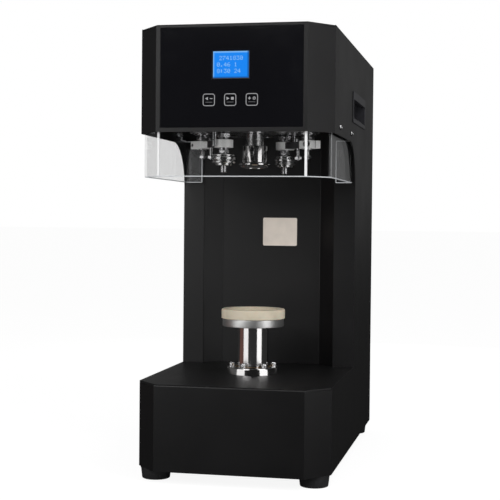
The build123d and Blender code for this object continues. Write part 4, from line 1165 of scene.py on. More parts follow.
def square_ring(name: str, centre: Point, outer: Point, inner: Point, y0: float, y1: float,
                finish: str) -> Piece:
    """Flat square frame that faces the front, with rounded corners.

    Args:
        name: The piece's name.
        centre: Its middle (x, z).
        outer: Width and corner radius outside.
        inner: Width and corner radius of the hole.
        y0: Front face.
        y1: Rear face.
        finish: The finish's name.

    Returns:
        The frame, all sizes in millimetres.
    """
    loops = [rounded(width, width, radius, centre) for width, radius in (outer, inner)]
    points = [(x, y, z) for y in (y0, y1) for loop in loops for x, z in loop]
    count = len(loops[0])
    faces = []
    for i in range(count):
        j = (i + 1) % count
        faces += [[i, j, count + j, count + i], [2 * count + i, 3 * count + i, 3 * count + j, 2 * count + j],
                  [i, 2 * count + i, 2 * count + j, j], [count + i, count + j, 3 * count + j, 3 * count + i]]
    return from_faces(name, points, faces, finish)


def brick(name: str, low: Sequence[float], high: Sequence[float], finish: str, rounding: float) -> Piece:
    """Block with rounded edges between two corners, in millimetres."""
    points = [(x, y, z) for x in (low[0], high[0]) for y in (low[1], high[1]) for z in (low[2], high[2])]
    faces = [(0, 1, 3, 2), (4, 6, 7, 5), (0, 4, 5, 1), (2, 3, 7, 6), (0, 2, 6, 4), (1, 5, 7, 3)]
    piece = from_faces(name, points, faces, finish)
    add_bevel(piece, rounding)
    return settle(piece)


@dataclass
class Cabinet:
    """Casing sheets, feet, and the screws that hold them."""

    foot_places: Sequence[Point] = ((-103.0, -197.0), (103.0, -197.0), (-103.0, 203.0), (103.0, 203.0))
    foot_radius: float = 20.0
    foot_foot: float = 18.0
    foot_height: float = 15.0
    washer_z: float = 5.15
    side_x: float = 125.0
    sheet_to_nut: float = 7.0
    side_screws: Sequence[Point] = ((-150.0, 452.5), (-36.0, 452.5))
    rear_face: float = 230.0
    rear_screw_x: float = 116.5
    rear_screw_z: Sequence[float] = (47.0, 212.5, 378.0, 543.5)

    def sheets(self) -> None:
        """Dress the folded and welded sheets."""
        for node in ("head_cover", "base_cover", "side_panel_left", "side_panel_right", "column_front_sheet",
                     "rear_panel"):
            carried(node, Body.CASING, "casing_paint", "charcoal powder coat", 0.1, 32.0)
        carried("base_plate", Body.CASING, "zinc_sheet", "zinc sheet", 0.3)
        carried("blank_label", Body.CASING, "pale_label", "pale film", 0.08)

    def feet(self) -> None:
        """Four rubber feet with a sunk pan-head screw and washer in each."""
        low, high, top = self.foot_foot, self.foot_radius, self.foot_height
        profile = [(7, 0), (low - 1.2, 0), (low - 0.4, 0.4), (low, 1.4), (high - 0.6, top - 2), (high, top - 1.2),
                   (high, top), (0, top), (0, 6), (6.6, 6), (7, 5.4)]
        foot = turned("foot", profile, "foot rubber", 72, ORIGIN)
        feet = row_of("rubber_feet_moulded", foot, [(*place, 0.0) for place in self.foot_places], "foot rubber")
        fit(feet, Body.CASING, "foot_rubber", "rubber_feet")
        washer = turned("washer", [(2.2, -0.8), (6, -0.8), (6, 0), (2.2, 0)], "bright fastener", 48, ORIGIN, None, 0.1)
        both = merge("foot_fastener", [washer, button_screw("foot_screw", 1.0, 4.2, 2.4, 2.1)])
        places = [(*place, self.washer_z) for place in self.foot_places]
        fit(row_of("foot_fasteners", both, places, "bright fastener", (180, 0, 0)), Body.CASING, "bright_fastener")

    def screws(self) -> None:
        """Button-head screws of the guard, with their nuts, and of the rear panel."""
        parts = []
        for sign in (1, -1):
            for name, piece, x in (
                    ("guard_screws", button_screw("guard_screw", 11.0), self.side_x),
                    ("guard_nuts", nut("guard_nut", 6.93, -3.2, 0.0, ORIGIN, "bright fastener", 2.0),
                     self.side_x - self.sheet_to_nut)):
                places = [(sign * x, *spot) for spot in self.side_screws]
                parts.append(row_of(name, piece, places, "bright fastener", (0, 90 * sign, 0)))
        rear = [(x, self.rear_face, z) for x in (-self.rear_screw_x, self.rear_screw_x) for z in self.rear_screw_z]
        parts.append(row_of("rear_screws", button_screw("rear_screw", 9.0), rear, "bright fastener", (-90, 0, 0)))
        fit(merge("casing_fasteners", parts), Body.CASING, "bright_fastener", "casing_screws")

    def build(self) -> None:
        """Make the whole cabinet."""
        self.sheets()
        self.feet()
        self.screws()


@dataclass
class Guard:
    """Clear bent guard round the seaming head, and its spacers."""

    rim_limit: float = 0.9
    rim_rounding: float = 1.2
    return_x: float = 98.0
    front_y: float = -231.0
    rear_of_bends: float = -100.0
    chamfer_angle: float = 49.95
    bend_margin: float = 3.0
    bend_depth: float = 12.0

    def is_rim(self, face: Face) -> bool:
        """Whether a face is part of the sheet's cut edge: a rim, an end of the return or a screw hole.

        Args:
            face: A face of the guard before its edges are rounded.

        Returns:
            True on the cut edge.
        """
        flat = abs(face.normal.z) > self.rim_limit
        end = abs(face.normal.x) > self.rim_limit and abs(face.center.x) < self.return_x * MM
        return flat or end

    def is_bend(self, face: Face) -> bool:
        """Whether a face lies in one of the four upright bends.

        Args:
            face: A face of the guard before its edges are rounded.

        Returns:
            True between the flat parts' directions.
        """
        if abs(face.normal.z) > 0.3 or face.center.y > self.rear_of_bends * MM:
            return False
        azimuth = math.degrees(math.atan2(abs(face.normal.x), abs(face.normal.y)))
        return all(abs(azimuth - flat) > self.bend_margin for flat in (0.0, self.chamfer_angle, 90.0))

    def is_front_bend(self, face: Face) -> bool:
        """Whether a face lies in one of the two bends beside the front."""
        return self.is_bend(face) and face.center.y < (self.front_y + self.bend_depth) * MM

    def build(self) -> None:
        """Make the guard and its spacers."""
        # The rim and the four bends take painted highlight finishes; on the rim it is partly the sheet's own edge.
        finishes = (("acrylic edge", self.is_rim), ("acrylic front bend", self.is_front_bend),
                    ("acrylic side bend", self.is_bend))
        carried("guard_window", Body.CASING, "clear_guard", "clear acrylic", self.rim_rounding, 60.0, finishes, 1)
        carried("guard_spacers", Body.CASING, "guard_fibre", "black plastic", 0.2)


@dataclass
class ControlPanel:
    """Black glass with printed touch keys, the lit display behind it and the control board."""

    face_y: float = -234.8
    print_depth: float = 0.12
    key_x: Sequence[float] = (-27.8, -0.7, 26.6)
    key_z: float = 480.8
    key_width: float = 15.4
    key_line: float = 1.0
    key_corner: float = 3.2
    display_x: Point = (-23.2, 22.0)
    display_z: Point = (507.9, 540.7)
    display_y: float = -232.8
    dot: float = 0.60
    dot_pitch: float = 0.73
    board_y: float = -221.9

    def figures(self) -> Piece:
        """Dots of the display's numbers, each sign five wide and seven high, a hexadecimal number a row."""
        shapes = {"0": "0E 11 13 15 19 11 0E", "1": "04 0C 04 04 04 04 0E", "2": "0E 11 01 02 04 08 1F",
                  "3": "1F 02 04 02 01 11 0E", "4": "02 06 0A 12 1F 02 02", "6": "06 08 10 1E 11 11 0E",
                  "7": "1F 01 02 04 08 08 08", "8": "0E 11 11 0E 11 11 0E", ".": "00 00 00 00 00 0C 0C",
                  ":": "00 0C 0C 00 0C 0C 00", " ": ""}
        places = []
        for text, left, top in (("2741830", -15.2, 534.5), ("0.46 1", -18.0, 526.6), ("8:30 24", -18.0, 518.6)):
            for column, sign in enumerate(text):
                for row, marks in enumerate(shapes[sign].split()):
                    places += [(left + (column * 6 + spot) * self.dot_pitch, self.display_y - 0.12,
                                top - row * self.dot_pitch) for spot in range(5) if int(marks, 16) >> (4 - spot) & 1]
        half = self.dot / 2
        corners = [(-half, -half), (half, -half), (half, half), (-half, half)]
        cell = plate("dot", corners, -0.06, 0.06, "display figures")
        return row_of("display_figures", cell, places, "display figures")

    def keys(self) -> None:
        """Printed outlines of the three touch keys, with plain signs in them over a faint line.

        The signs are a left arrow and bar, a triangle and square, and a plus and ring.
        """
        front, rear = self.face_y - self.print_depth, self.face_y
        inside = (self.key_width - 2 * self.key_line, self.key_corner - self.key_line)
        parts = [square_ring("key", (x, self.key_z), (self.key_width, self.key_corner), inside, front, rear,
                             "key outline") for x in self.key_x]
        first, second, third = self.key_x
        z = self.key_z + 1.6
        signs = ([(first - 4.8, z), (first - 1.2, z - 2.0), (first - 1.2, z + 2.0)],
                 rounded(3.6, 1.0, 0.3, (first + 3.0, z)),
                 [(second - 4.6, z - 2.0), (second - 1.0, z), (second - 4.6, z + 2.0)],
                 rounded(3.4, 3.4, 0.4, (second + 2.8, z)),
                 rounded(3.8, 0.95, 0.3, (third - 2.9, z)))
        parts += [plate("sign", sign, front, rear, "key sign") for sign in signs]
        parts.append(plate("sign", rounded(0.95, 3.8, 0.3, (third - 2.9, z)), front - 0.02, rear, "key sign"))
        parts.append(square_ring("sign", (third + 2.9, z), (3.8, 1.89), (2.0, 0.99), front, rear, "key sign"))
        parts += [plate("key_line", rounded(8.6, 0.7, 0.3, (x, self.key_z - 2.9)), front, rear, "faint key line")
                  for x in self.key_x]
        fit(merge("touch_key_print", parts), Body.CASING, "black_glass")

    def display(self) -> None:
        """Display module with its bezel, lit panel and figures."""
        carried("display_module", Body.CASING, "display_blue", "chip resin", 0.3)
        (x0, x1), (z0, z1), y = self.display_x, self.display_z, self.display_y
        panel = plate("display_panel", [(x0, z0), (x1, z0), (x1, z1), (x0, z1)], y - 0.06, y + 0.1, "display glow")
        fit(merge("display_light", [panel, self.figures()]), Body.CASING, "display_blue")

    def board(self) -> None:
        """Control board with its chips and their legs, and two capacitors."""
        carried("control_board", Body.CASING, "circuit_board", "circuit board resist", 0.2)
        y = self.board_y
        parts = [brick("chip", (x - w / 2, y, z - h / 2), (x + w / 2, y + t, z + h / 2), "chip resin", 0.25)
                 for x, z, w, h, t in ((10.0, 486.0, 14.0, 9.0, 1.6), (-62.0, 470.0, 9.0, 12.0, 3.0),
                                       (20.0, 464.0, 10.0, 7.0, 1.8))]
        legs = [(10.0 + side * 7.6, y + 0.5, 482.5 + step * 1.4) for side in (-1, 1) for step in range(6)]
        leg = brick("leg", (-0.7, -0.2, -0.25), (0.7, 0.2, 0.25), "tinned pin", 0.05)
        parts.append(row_of("chip_legs", leg, legs, "tinned pin"))
        profile = [(0, 0), (4, 0), (4, 1.2), (3.8, 1.5), (4, 1.8), (4, 10), (3.7, 10.5), (0, 10.5)]
        can = turned("capacitor", profile, "motor enamel", 32, ORIGIN, None, 0.1)
        parts.append(row_of("capacitors", can, [(-32.0, y, 462.0), (-22.0, y, 488.0)], "motor enamel", (-90, 0, 0)))
        fit(merge("board_parts", parts), Body.CASING, "circuit_board")

    def build(self) -> None:
        """Make the whole panel."""
        carried("control_glass", Body.CASING, "black_glass", "black glass", 0.35)
        self.keys()
        self.display()
        self.board()


@dataclass
class CarryHandles:
    """Moulded cups in both sides of the head."""

    rounding: float = 0.7

    def build(self) -> None:
        """Make both handles."""
        for node in ("carry_handle_left", "carry_handle_right"):
            carried(node, Body.CASING, "black_plastic", "black plastic", self.rounding, 28.0)


@dataclass
class RearFittings:
    """Power inlet with its pins and the rocker switch with its marks."""

    pin_places: Sequence[Point] = ((-77.0, 62.5), (-70.0, 66.5), (-63.0, 62.5))
    pin_half: Point = (1.04, 2.04)
    pin_y: Point = (218.2, 227.2)
    pivot: Sequence[float] = (-70.0, 231.0, 88.0)
    tilt: float = 10.0
    mark_reach: float = 2.0

    def build(self) -> None:
        """Make the inlet and the rocker."""
        carried("power_inlet", Body.CASING, "black_plastic", "black plastic", 0.35)
        (half_x, half_z), (near, far) = self.pin_half, self.pin_y
        pin = brick("pin", (-half_x, 0.0, -half_z), (half_x, far - near, half_z), "tinned pin", 0.5)
        places = [(x, near, z) for x, z in self.pin_places]
        fit(row_of("inlet_pins", pin, places, "tinned pin"), Body.CASING, "bright_fastener")
        carried("power_rocker", Body.ROCKER, "black_plastic", "black plastic", 0.3)
        bar = plate("mark_bar", rounded(0.9, 4.0, 0.3, (0.0, 3.2)), -0.02, 0.1, "white rocker mark")
        ring = square_ring("mark_ring", (0.0, -3.2), (4.0, 1.99), (2.6, 1.29), -0.02, 0.1, "white rocker mark")
        lean = at(*self.pivot) @ spin(self.tilt, "X") @ at(0.0, self.mark_reach, 0.0)
        slope = math.degrees(math.atan2(self.mark_reach - 0.6, 6.2))
        parts = [moved(mark, lean @ spin(sign * slope, "X")) for mark, sign in ((bar, 1), (ring, -1))]
        fit(merge("rocker_marks", parts), Body.ROCKER, "bright_fastener")


@dataclass
class FixedSpindle:
    """Chuck, centre shaft and the bridge that holds the shaft."""

    chuck_bottom: float = 402.5
    chuck_top: float = 433.0
    body_radius: float = 17.25
    lip_radius: float = 21.0
    pilot_radius: float = 19.0
    grub_z: float = 427.5

    def chuck(self) -> None:
        """Chuck with its pilot, lip, cross hole and grub screw."""
        lip, body, pilot, low, high = (self.lip_radius, self.body_radius, self.pilot_radius, self.chuck_bottom,
                                       self.chuck_top)
        profile = [(0, 404.5), (12.6, 404.5), (13, 404), (13, 402.8), (13.4, low), (17.6, low), (18.4, 402.9),
                   (pilot, 405.6), (pilot + 0.5, 406.2), (lip - 0.5, 406.4), (lip, 406.9), (lip, 408.6),
                   (lip - 0.5, 409.1), (body + 1.2, 409.3), (body + 0.3, 409.8), (body, 410.8), (body, 431.9),
                   (body - 0.8, high), (10, high), (10, 409.5), (0, 409.5)]
        chuck = turned("seaming_chuck", profile, "polished chrome", 128)
        cutter = turned("cutter", [(0, 0), (2.6, 0), (2.6, 9), (0, 9)], "polished chrome", 32, ORIGIN)
        front = SEAMING_AXIS[1] - body
        cut_out(chuck, moved(cutter, at(0.0, front - 1.5, self.grub_z) @ spin(-90.0, "X")))
        fit(chuck, Body.CASING, "polished_chrome", "chuck")
        profile = [(0, 0), (2.4, 0), (2.5, 0.3), (2.5, 4.6), (2.2, 5), (1.3, 5), (1.25, 4.8), (1.25, 2.6), (0, 2.5)]
        grub = turned("grub", profile, "black oxide", 48, ORIGIN, socket_outline(2.5, 0.07))
        fit(moved(grub, at(0.0, front + 6.4, self.grub_z) @ spin(90.0, "X")), Body.CASING, "bright_fastener")

    def shaft(self) -> None:
        """Centre shaft with its shoulder and a plain top."""
        profile = [(0, 409.5), (10, 409.5), (10, 433), (12.1, 433), (12.5, 433.4), (12.5, 448.1), (12.1, 448.5),
                   (10, 448.5), (10, 562.7), (9.2, 563.5), (0, 563.5)]
        fit(turned("fixed_shaft", profile, "ground tool steel", 112), Body.CASING, "machined_steel", "centre_shaft")
        carried("shaft_bridge", Body.CASING, "turned_aluminium", "cast aluminium", 0.6)

    def build(self) -> None:
        """Make the chuck, shaft and bridge."""
        self.chuck()
        self.shaft()


@dataclass
class RollerArm:
    """One arm with its clamp, screws, pivot shaft, cam lever, stud and seaming roller."""

    side: Side
    radius: float
    groove: float
    pivot_x: float = 72.4
    roller_place: Point = (36.0, 30.0)
    arm_middle: float = 434.25
    stop_seat: float = 438.5
    stop_low: float = 414.0
    stop_share: float = 0.41
    groove_steps: int = 8

    def __post_init__(self) -> None:
        """Work out the arm's directions, its roller's axis and its names."""
        run = Vector((self.pivot_x - self.roller_place[0], -self.roller_place[1]))
        self.length = run.length
        self.out = run.normalized()
        self.across = Vector((-self.out.y, self.out.x))
        self.centre = (self.roller_place[0], SEAMING_AXIS[1] + self.roller_place[1])
        self.prefix = self.side.name.lower()
        self.body = Body[f"{self.side.name}_ARM"]

    def spot(self, u: float, v: float = 0.0) -> Point:
        """Place on the arm, from its pivot: u along the tail and v across."""
        return (self.pivot_x + u * self.out.x + v * self.across.x,
                SEAMING_AXIS[1] + u * self.out.y + v * self.across.y)

    def place(self, piece: Piece, body: Body, slot: str, node: str) -> None:
        """Tie a piece that was made for the second arm, after a half turn round the seaming axis for the first.

        Args:
            piece: The piece.
            body: Its body.
            slot: The record's material slot.
            node: The CAD node that it stands for.
        """
        if self.side is Side.FIRST:
            axis = at(*SEAMING_AXIS, 0.0)
            moved(piece, axis @ spin(180.0, "Z") @ axis.inverted())
        fit(piece, body, slot, f"{self.prefix}_{node}")

    def metal(self) -> None:
        """Arm and cam lever, from their CAD shapes with rounded edges."""
        # The arm steel paints shade on the bar and a highlight on the eye and clamp.
        carried(f"{self.prefix}_roller_arm", self.body, "machined_steel", f"{self.prefix} arm steel", 0.5, 28.0)
        carried(f"{self.prefix}_cam_lever", self.body, "roller_steel", "ground tool steel", 0.4, 28.0)

    def shaft(self) -> None:
        """Pivot shaft with a threaded tip below."""
        centre = self.spot(0.0)
        profile = [(0, 415), (2.3, 415), (2.75, 415.6), (2.75, 427), (5.6, 427), (6, 427.5), (6, 466.4), (5.4, 467),
                   (0, 467)]
        shaft = turned("pivot_shaft", profile, "turned steel", 72, centre)
        thread = coil("thread", 2.62, 0.2, 12.0, 6.0, (*centre, 420.4), "turned steel", 24)
        piece = merge(f"{self.prefix}_pivot_shaft", [shaft, thread])
        self.place(piece, self.body, "machined_steel", "arm_shaft")

    def screws(self) -> None:
        """Pinch screw, stop screw and the two lower nuts."""
        heading = math.degrees(math.atan2(self.across.y, self.across.x))
        pinch = moved(cap_screw("pinch_screw", 19.5),
                      at(*self.spot(11.5, -10.0), self.arm_middle) @ spin(heading, "Z") @ spin(-90.0, "Y"))
        spot = self.spot(-self.stop_share * self.length)
        stop = moved(cap_screw("stop_screw", self.stop_seat - self.stop_low), at(*spot, self.stop_seat))
        parts = [pinch, stop, coil("stop_thread", 2.42, 0.17, 11.0, 8.8, (*spot, 419.4), "bright fastener", 24),
                 nut("stop_nut", 9.2, 415.0, 419.0, spot, "bright fastener", 2.4, 12.0),
                 nut("tip_nut", 9.2, 416.0, 420.0, self.spot(0.0), "bright fastener", 2.7, 24.0)]
        piece = merge(f"{self.prefix}_arm_fasteners", parts)
        self.place(piece, self.body, "bright_fastener", "arm_screws")

    def stud(self) -> None:
        """Roller stud: hexagon head, collars, lock nut, pin and slotted cap."""
        x, y = self.centre
        head = nut("stud_head", 17.0, 442.5, 448.0, self.centre, "turned steel", 0.0, 8.0)
        lock = nut("stud_lock_nut", 13.0, 421.8, 425.8, self.centre, "turned steel", 4.9, 20.0)
        profile = [(0, 395.7), (3.8, 395.7), (4.35, 396.3), (4.35, 404.1), (4, 404.7), (3.5, 404.7), (3.5, 420.3),
                   (5, 420.3), (5, 421.6), (5, 425.8), (6.2, 425.8), (6.5, 426.1), (6.5, 428.7), (6.2, 429), (5, 429),
                   (5, 439.5), (6.5, 439.5), (6.5, 442.5), (0, 442.5)]
        shank = turned("stud_shank", profile, "turned steel", 72, self.centre)
        slot = brick("slot", (x - 5.0, y - 0.5, 395.0), (x + 5.0, y + 0.5, 396.9), "turned steel", 0.05)
        piece = merge(f"{self.prefix}_stud", [head, lock, cut_out(shank, slot)])
        self.place(piece, self.body, "roller_steel", "roller_stud")

    def roller(self) -> None:
        """Seaming roller with its hub, grooved rim and dust cap."""
        rim, turns = self.radius, [math.pi * t / self.groove_steps for t in range(1, self.groove_steps)]
        arc = [(rim - self.groove * math.sin(t), 410.2 + 3.0 * (1 - math.cos(t)) / 2) for t in turns]
        cap, neck = rim - 1.5, rim - 3.0
        profile = [(3.55, 405), (10.4, 405), (11, 405.5), (11, 408), (rim - 0.9, 408), (rim, 408.7), (rim, 410),
                   (rim - 0.15, 410.2), *arc, (rim - 0.15, 413.2), (rim, 413.5), (rim, 415.7), (rim - 0.9, 416.5),
                   (neck, 416.5), (neck, 417.3), (cap - 0.4, 417.3), (cap, 417.7), (cap, 419.3), (cap - 0.8, 420),
                   (cap - 3, 420), (cap - 3.4, 419.5), (5.6, 419.5), (5.2, 420), (3.55, 420)]
        piece = turned(f"{self.prefix}_seaming_roller", profile, "ground tool steel", 96, self.centre)
        self.place(piece, Body[f"{self.side.name}_ROLLER"], "roller_steel", "roller")

    def build(self) -> None:
        """Make the whole arm."""
        self.metal()
        self.shaft()
        self.screws()
        self.stud()
        self.roller()


@dataclass
class Carrier:
    """Rotating carrier with its sleeve, pulley, bushes and return springs."""

    pivot_x: float = 72.4
    spring_z: float = 441.25
    spring_radius: float = 8.0
    spring_wire: float = 0.8

    def build(self) -> None:
        """Make the carrier, and a helix for each spring."""
        carried("carrier_disc", Body.CARRIER, "machined_steel", "turned steel", 0.4)
        carried("carrier_sleeve", Body.CARRIER, "machined_steel", "ground tool steel", 0.3)
        carried("carrier_pulley", Body.CARRIER, "turned_aluminium", "satin aluminium", 0.2)
        carried("pivot_bushes", Body.CARRIER, "machined_steel", "turned steel", 0.2)
        parts = [coil("spring", self.spring_radius, self.spring_wire, 3.0, 4.5, (x, SEAMING_AXIS[1], self.spring_z),
                      "turned steel", 40) for x in (self.pivot_x, -self.pivot_x)]
        fit(merge("torsion_springs", parts), Body.CARRIER, "machined_steel", "return_springs")


@dataclass
class HeadDrive:
    """Cam, pulleys, belts, motor, bearings and the plate that carries them."""

    rounding: float = 0.2

    def build(self) -> None:
        """Make the drive."""
        carried("feed_cam", Body.CAM, "roller_steel", "ground tool steel", 0.4, 25.0)
        carried("cam_sleeve", Body.CAM, "machined_steel", "turned steel", 0.3)
        carried("cam_pulley", Body.CAM, "turned_aluminium", "satin aluminium", self.rounding)
        carried("motor_pulleys", Body.MOTOR_ROTOR, "turned_aluminium", "satin aluminium", self.rounding)
        carried("drive_belts", Body.CASING, "belt_rubber", "belt rubber", self.rounding)
        carried("head_plate", Body.CASING, "machined_steel", "milled steel", 0.6)
        carried("spindle_housing", Body.CASING, "turned_aluminium", "satin aluminium", 0.5)
        carried("spindle_bearings", Body.CASING, "machined_steel", "ground tool steel", self.rounding)
        carried("drive_motor", Body.CASING, "motor_paint", "motor enamel", 0.5)


@dataclass
class CanLift:
    """Pad, disc, ram, flange and guide, and the screw drive under them."""

    pad_low: float = 199.5
    pad_high: float = 212.5
    disc_low: float = 189.0
    ram_low: float = 62.0
    base_top: float = 125.0
    flange_high: float = 134.5
    screw_circle: float = 28.5
    screw_turn: float = 14.0
    screw_count: int = 6

    def table(self) -> None:
        """Nylon pad with its seat, the aluminium disc under it and the hollow polished ram."""
        low, high = self.pad_low, self.pad_high
        profile = [(0, low), (41.9, low), (42.7, low + 0.35), (43, low + 1.2), (43, high - 2), (42.6, high - 0.7),
                   (41.6, high), (34.4, high), (33.8, high - 0.3), (33.6, high - 0.9), (33.6, high - 4.7),
                   (33.2, high - 5), (0, high - 5)]
        fit(turned("nylon_can_pad", profile, "machined nylon", 128), Body.LIFT, "nylon_pad", "can_pad")
        low, high = self.disc_low, self.pad_low
        profile = [(0, low), (40.5, low), (41.2, low + 0.3), (41.5, low + 1), (41.5, high - 1), (41.2, high - 0.3),
                   (40.5, high), (0, high)]
        fit(turned("turned_lift_disc", profile, "satin aluminium", 128), Body.LIFT, "turned_aluminium", "lift_plate")
        low, high = self.ram_low, self.disc_low
        profile = [(15, low), (20.6, low), (21, low + 0.5), (21, high), (0, high), (0, high - 10), (15, high - 10)]
        fit(turned("polished_ram", profile, "polished chrome", 144), Body.LIFT, "polished_chrome", "lift_ram")

    def flange(self) -> None:
        """Polished flange, its cap screws and the bronze guide."""
        low, high = self.base_top, self.flange_high
        profile = [(25, low), (35.7, low), (36, low + 0.3), (35.3, high - 1.6), (34.9, high - 0.6), (34.1, high),
                   (25, high)]
        fit(turned("polished_flange", profile, "polished chrome", 128), Body.CASING, "polished_chrome", "ram_flange")
        turns = [math.radians(self.screw_turn + 360.0 * step / self.screw_count) for step in range(self.screw_count)]
        places = [(self.screw_circle * math.cos(turn), SEAMING_AXIS[1] + self.screw_circle * math.sin(turn), high)
                  for turn in turns]
        ring = row_of("flange_cap_screws", cap_screw("flange_screw", 19.0), places, "bright fastener")
        fit(ring, Body.CASING, "bright_fastener", "flange_screws")
        profile = [(21.05, 75), (25, 75), (25, high - 0.4), (24.6, high), (21.7, high), (21.05, high - 0.6)]
        fit(turned("bronze_guide", profile, "plain bronze", 112), Body.CASING, "bronze", "ram_guide")

    def drive(self) -> None:
        """Nut, screw with its thread, frame and motor."""
        carried("lift_nut", Body.LIFT, "bronze", "plain bronze", 0.3)
        profile = [(0, 30), (4.6, 30), (5, 30.5), (5, 57.6), (4.55, 58.1), (4.55, 145.8), (4, 147), (0, 147)]
        core = turned("screw_core", profile, "ground tool steel", 48)
        thread = coil("screw_thread", 4.5, 0.5, 22.0, 85.0, (*SEAMING_AXIS, 60.0), "ground tool steel", 32)
        fit(merge("threaded_lead_screw", [core, thread]), Body.SCREW, "machined_steel", "lead_screw")
        carried("lift_frame", Body.CASING, "zinc_sheet", "zinc sheet", 0.25)
        carried("lift_motor", Body.CASING, "motor_paint", "motor enamel", 0.5)

    def build(self) -> None:
        """Make the whole lift."""
        self.table()
        self.flange()
        self.drive()


@dataclass
class Electrics:
    """Power supply with its terminals, and the motor driver."""

    supply_x: float = 35.0
    supply_y: float = 187.5
    terminal_z: float = 37.0
    terminals: int = 8

    def build(self) -> None:
        """Make both housings and the terminal strip."""
        carried("power_supply", Body.CASING, "zinc_sheet", "zinc sheet", 0.4)
        carried("motor_driver", Body.CASING, "turned_aluminium", "cast aluminium", 0.3)
        x, y, z = self.supply_x, self.supply_y, self.terminal_z
        strip = brick("terminal_strip", (x - 40.0, y - 6.0, z), (x + 40.0, y + 5.0, z + 5.0), "terminal resin", 0.4)
        profile = [(0, 0), (3.1, 0), (3.1, 1), (2.5, 1.6), (0, 1.6)]
        screw = turned("terminal_screw", profile, "tinned pin", 24, ORIGIN, None, 0.1)
        places = [(x - 35.0 + 10.0 * step, y, z + 4.9) for step in range(self.terminals)]
        screws = row_of("terminal_screws", screw, places, "tinned pin")
        fit(merge("supply_terminals", [strip, screws]), Body.CASING, "black_plastic")


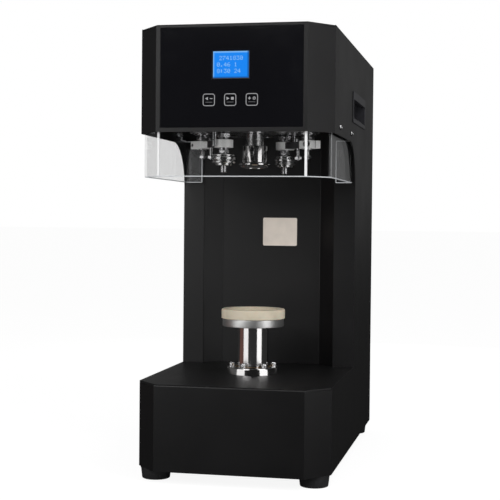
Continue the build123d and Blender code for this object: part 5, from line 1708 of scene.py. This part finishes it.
@dataclass
class Studio:
    """Camera, soft lamps, pale floor and the surroundings."""

    camera_place: Sequence[float] = (334.06, -1697.26, 332.84)
    yaw: float = -0.2076
    pitch: float = -0.0248
    roll: float = 0.0092
    focal: float = 1213.57
    picture: float = 500.0
    room_level: float = 0.45
    room_gloss: float = 0.012
    backdrop_gloss: float = 0.19
    ceiling_gloss: float = 0.06
    wall_gloss: float = 0.09
    warm_patch: Colour = (0.13, 0.062, 0.050)
    floor_reach: float = 40.0

    def camera(self) -> None:
        """Camera at the photograph's place and angle."""
        data = bpy.data.cameras.new("camera")
        data.sensor_width = 36.0
        data.lens = 36.0 * self.focal / self.picture
        data.clip_start, data.clip_end = 0.05, 60.0
        ahead = Vector((math.sin(self.yaw) * math.cos(self.pitch), math.cos(self.yaw) * math.cos(self.pitch),
                        math.sin(self.pitch)))
        right = Vector((math.cos(self.yaw), -math.sin(self.yaw), 0.0))
        up = right.cross(ahead)
        right_rolled = math.cos(self.roll) * right + math.sin(self.roll) * up
        up_rolled = -math.sin(self.roll) * right + math.cos(self.roll) * up
        turn = Matrix((right_rolled, up_rolled, -ahead)).transposed()
        camera = new_object("camera", data)
        camera.matrix_world = Matrix.Translation(Vector(self.camera_place) * MM) @ turn.to_4x4()
        bpy.context.scene.camera = camera

    def lamp(self, name: str, place: Sequence[float], target: Sequence[float], size: Point, power: float) -> None:
        """White rectangular soft box.

        Args:
            name: The lamp's name.
            place: Its place in metres.
            target: The point that it faces, in metres.
            size: Width and height in metres.
            power: Power in watts.
        """
        data = bpy.data.lights.new(name, "AREA")
        data.shape = "RECTANGLE"
        data.size, data.size_y = size
        data.energy = power
        lamp = new_object(name, data)
        lamp.location = place
        lamp.rotation_euler = (Vector(target) - Vector(place)).to_track_quat("-Z", "Y").to_euler()
        lamp.visible_camera = False

    def rays(self, shop: Shop) -> tuple[Wire, Wire]:
        """Kinds of ray.

        Args:
            shop: Builder of the tree that asks.

        Returns:
            1 where the camera looks, straight or through the clear sheet, and 1 for a glossy ray.
        """
        path = shop.node("ShaderNodeLightPath", {}).outputs
        seen, through, glossy = (Wire(shop, path[f"Is {kind} Ray"]) for kind in ("Camera", "Transmission", "Glossy"))
        return seen.larger(through), glossy

    def surroundings(self) -> None:
        """White to the camera, a plain light level for dull surfaces and a dim room for glossy ones."""
        world = bpy.data.worlds.new("studio room")
        bpy.context.scene.world = world
        shop = Shop("studio room", world)
        world.cycles.sampling_method = "NONE"
        seen, glossy = self.rays(shop)
        x, y, z = shop.apart("Generated")
        backdrop = y.between(0.55, 0.9) * (1.0 - z.between(0.1, 0.6) * 0.7)
        wall = (1.0 - x.between(-0.95, -0.7)) * self.wall_gloss
        gloss = self.room_gloss + backdrop * self.backdrop_gloss + z.between(0.6, 0.95) * self.ceiling_gloss + wall
        room = glossy * gloss + (1.0 - glossy) * self.room_level
        level = seen + (1.0 - seen) * room
        shop.node("ShaderNodeOutputWorld",
                  {"Surface": shop.node("ShaderNodeBackground", {"Color": WHITE, "Strength": level})})

    def floor(self) -> None:
        """White floor that keeps a faint shadow, and looks dim in glossy surfaces."""
        shop = Shop("studio floor")
        seen, glossy = self.rays(shop)
        grain = shop.blend(shop.noise(6.0), (0.80, 0.80, 0.80), (0.84, 0.84, 0.84))
        diffuse = shop.node("ShaderNodeBsdfDiffuse", {"Color": grain})
        glow = shop.node("ShaderNodeEmission", {"Color": WHITE, "Strength": 1.13})
        mixed = shop.node("ShaderNodeMixShader", {0: seen * 0.8, 1: diffuse, 2: glow})
        x, y, _ = shop.apart()
        patch = (1.0 - x.between(-1.1, -0.9)) * y.between(-1.0, -0.8) * (1.0 - y.between(0.1, 0.3))
        tint = shop.blend(patch, (0.02, 0.02, 0.02), self.warm_patch)
        dim = shop.node("ShaderNodeEmission", {"Color": tint, "Strength": 1.0})
        split = shop.node("ShaderNodeMixShader", {0: glossy * 0.98, 1: mixed, 2: dim})
        shop.node("ShaderNodeOutputMaterial", {"Surface": split})
        shop.owner.cycles.emission_sampling = "NONE"
        reach = self.floor_reach
        mesh = bpy.data.meshes.new("studio_floor")
        mesh.from_pydata([(x * reach, y * reach, 0.0) for x, y in ((-1, -1), (1, -1), (1, 1), (-1, 1))], [],
                         [(0, 1, 2, 3)])
        mesh.materials.append(shop.owner)
        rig.stage(new_object("studio_floor", mesh))

    def build(self) -> None:
        """Make the whole studio."""
        bpy.context.scene.view_settings.view_transform = "Standard"
        self.camera()
        self.surroundings()
        self.floor()
        self.lamp("left box", (-0.533, -0.682, 0.335), (0.0, -0.086, 0.335), (0.535, 0.66), 1.2)
        self.lamp("right box", (0.691, -0.490, 0.335), (0.0, -0.086, 0.335), (0.52, 0.66), 1.4)
        self.lamp("upper right box", (0.907, -0.616, 1.20), (0.0, -0.086, 0.50), (0.68, 0.70), 6.5)
        self.lamp("upper front box", (-0.60, -1.90, 1.25), (0.0, -0.20, 0.50), (0.90, 0.70), 9.5)
        self.lamp("top box", (0.1, 0.0, 2.2), (0.0, 0.0, 0.5), (1.5, 1.5), 3.5)
        self.lamp("rear box", (-0.10, 1.60, 0.45), (-0.10, 0.20, 0.45), (0.40, 0.80), 2.2)


def write_sizes() -> None:
    """Keep the CAD's box and the finished model's box in a small file."""
    low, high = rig.bounds()
    boxes = {"cad": [list(CAD_BOX[0]), list(CAD_BOX[1])], "visual": [list(low), list(high)]}
    with open("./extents.json", "w") as handle:
        json.dump(boxes, handle)


def main() -> None:
    """Build the studio and every sub-assembly in order."""
    logging.basicConfig(level=logging.INFO, format="%(name)s: %(message)s")
    for part in (Studio(), Cabinet(), Guard(), ControlPanel(), CarryHandles(), RearFittings(), FixedSpindle(),
                 RollerArm(Side.FIRST, 16.0, 2.3), RollerArm(Side.SECOND, 14.0, 1.2), Carrier(), HeadDrive(),
                 CanLift(), Electrics()):
        part.build()
    write_sizes()


if __name__ == "__main__":
    main()
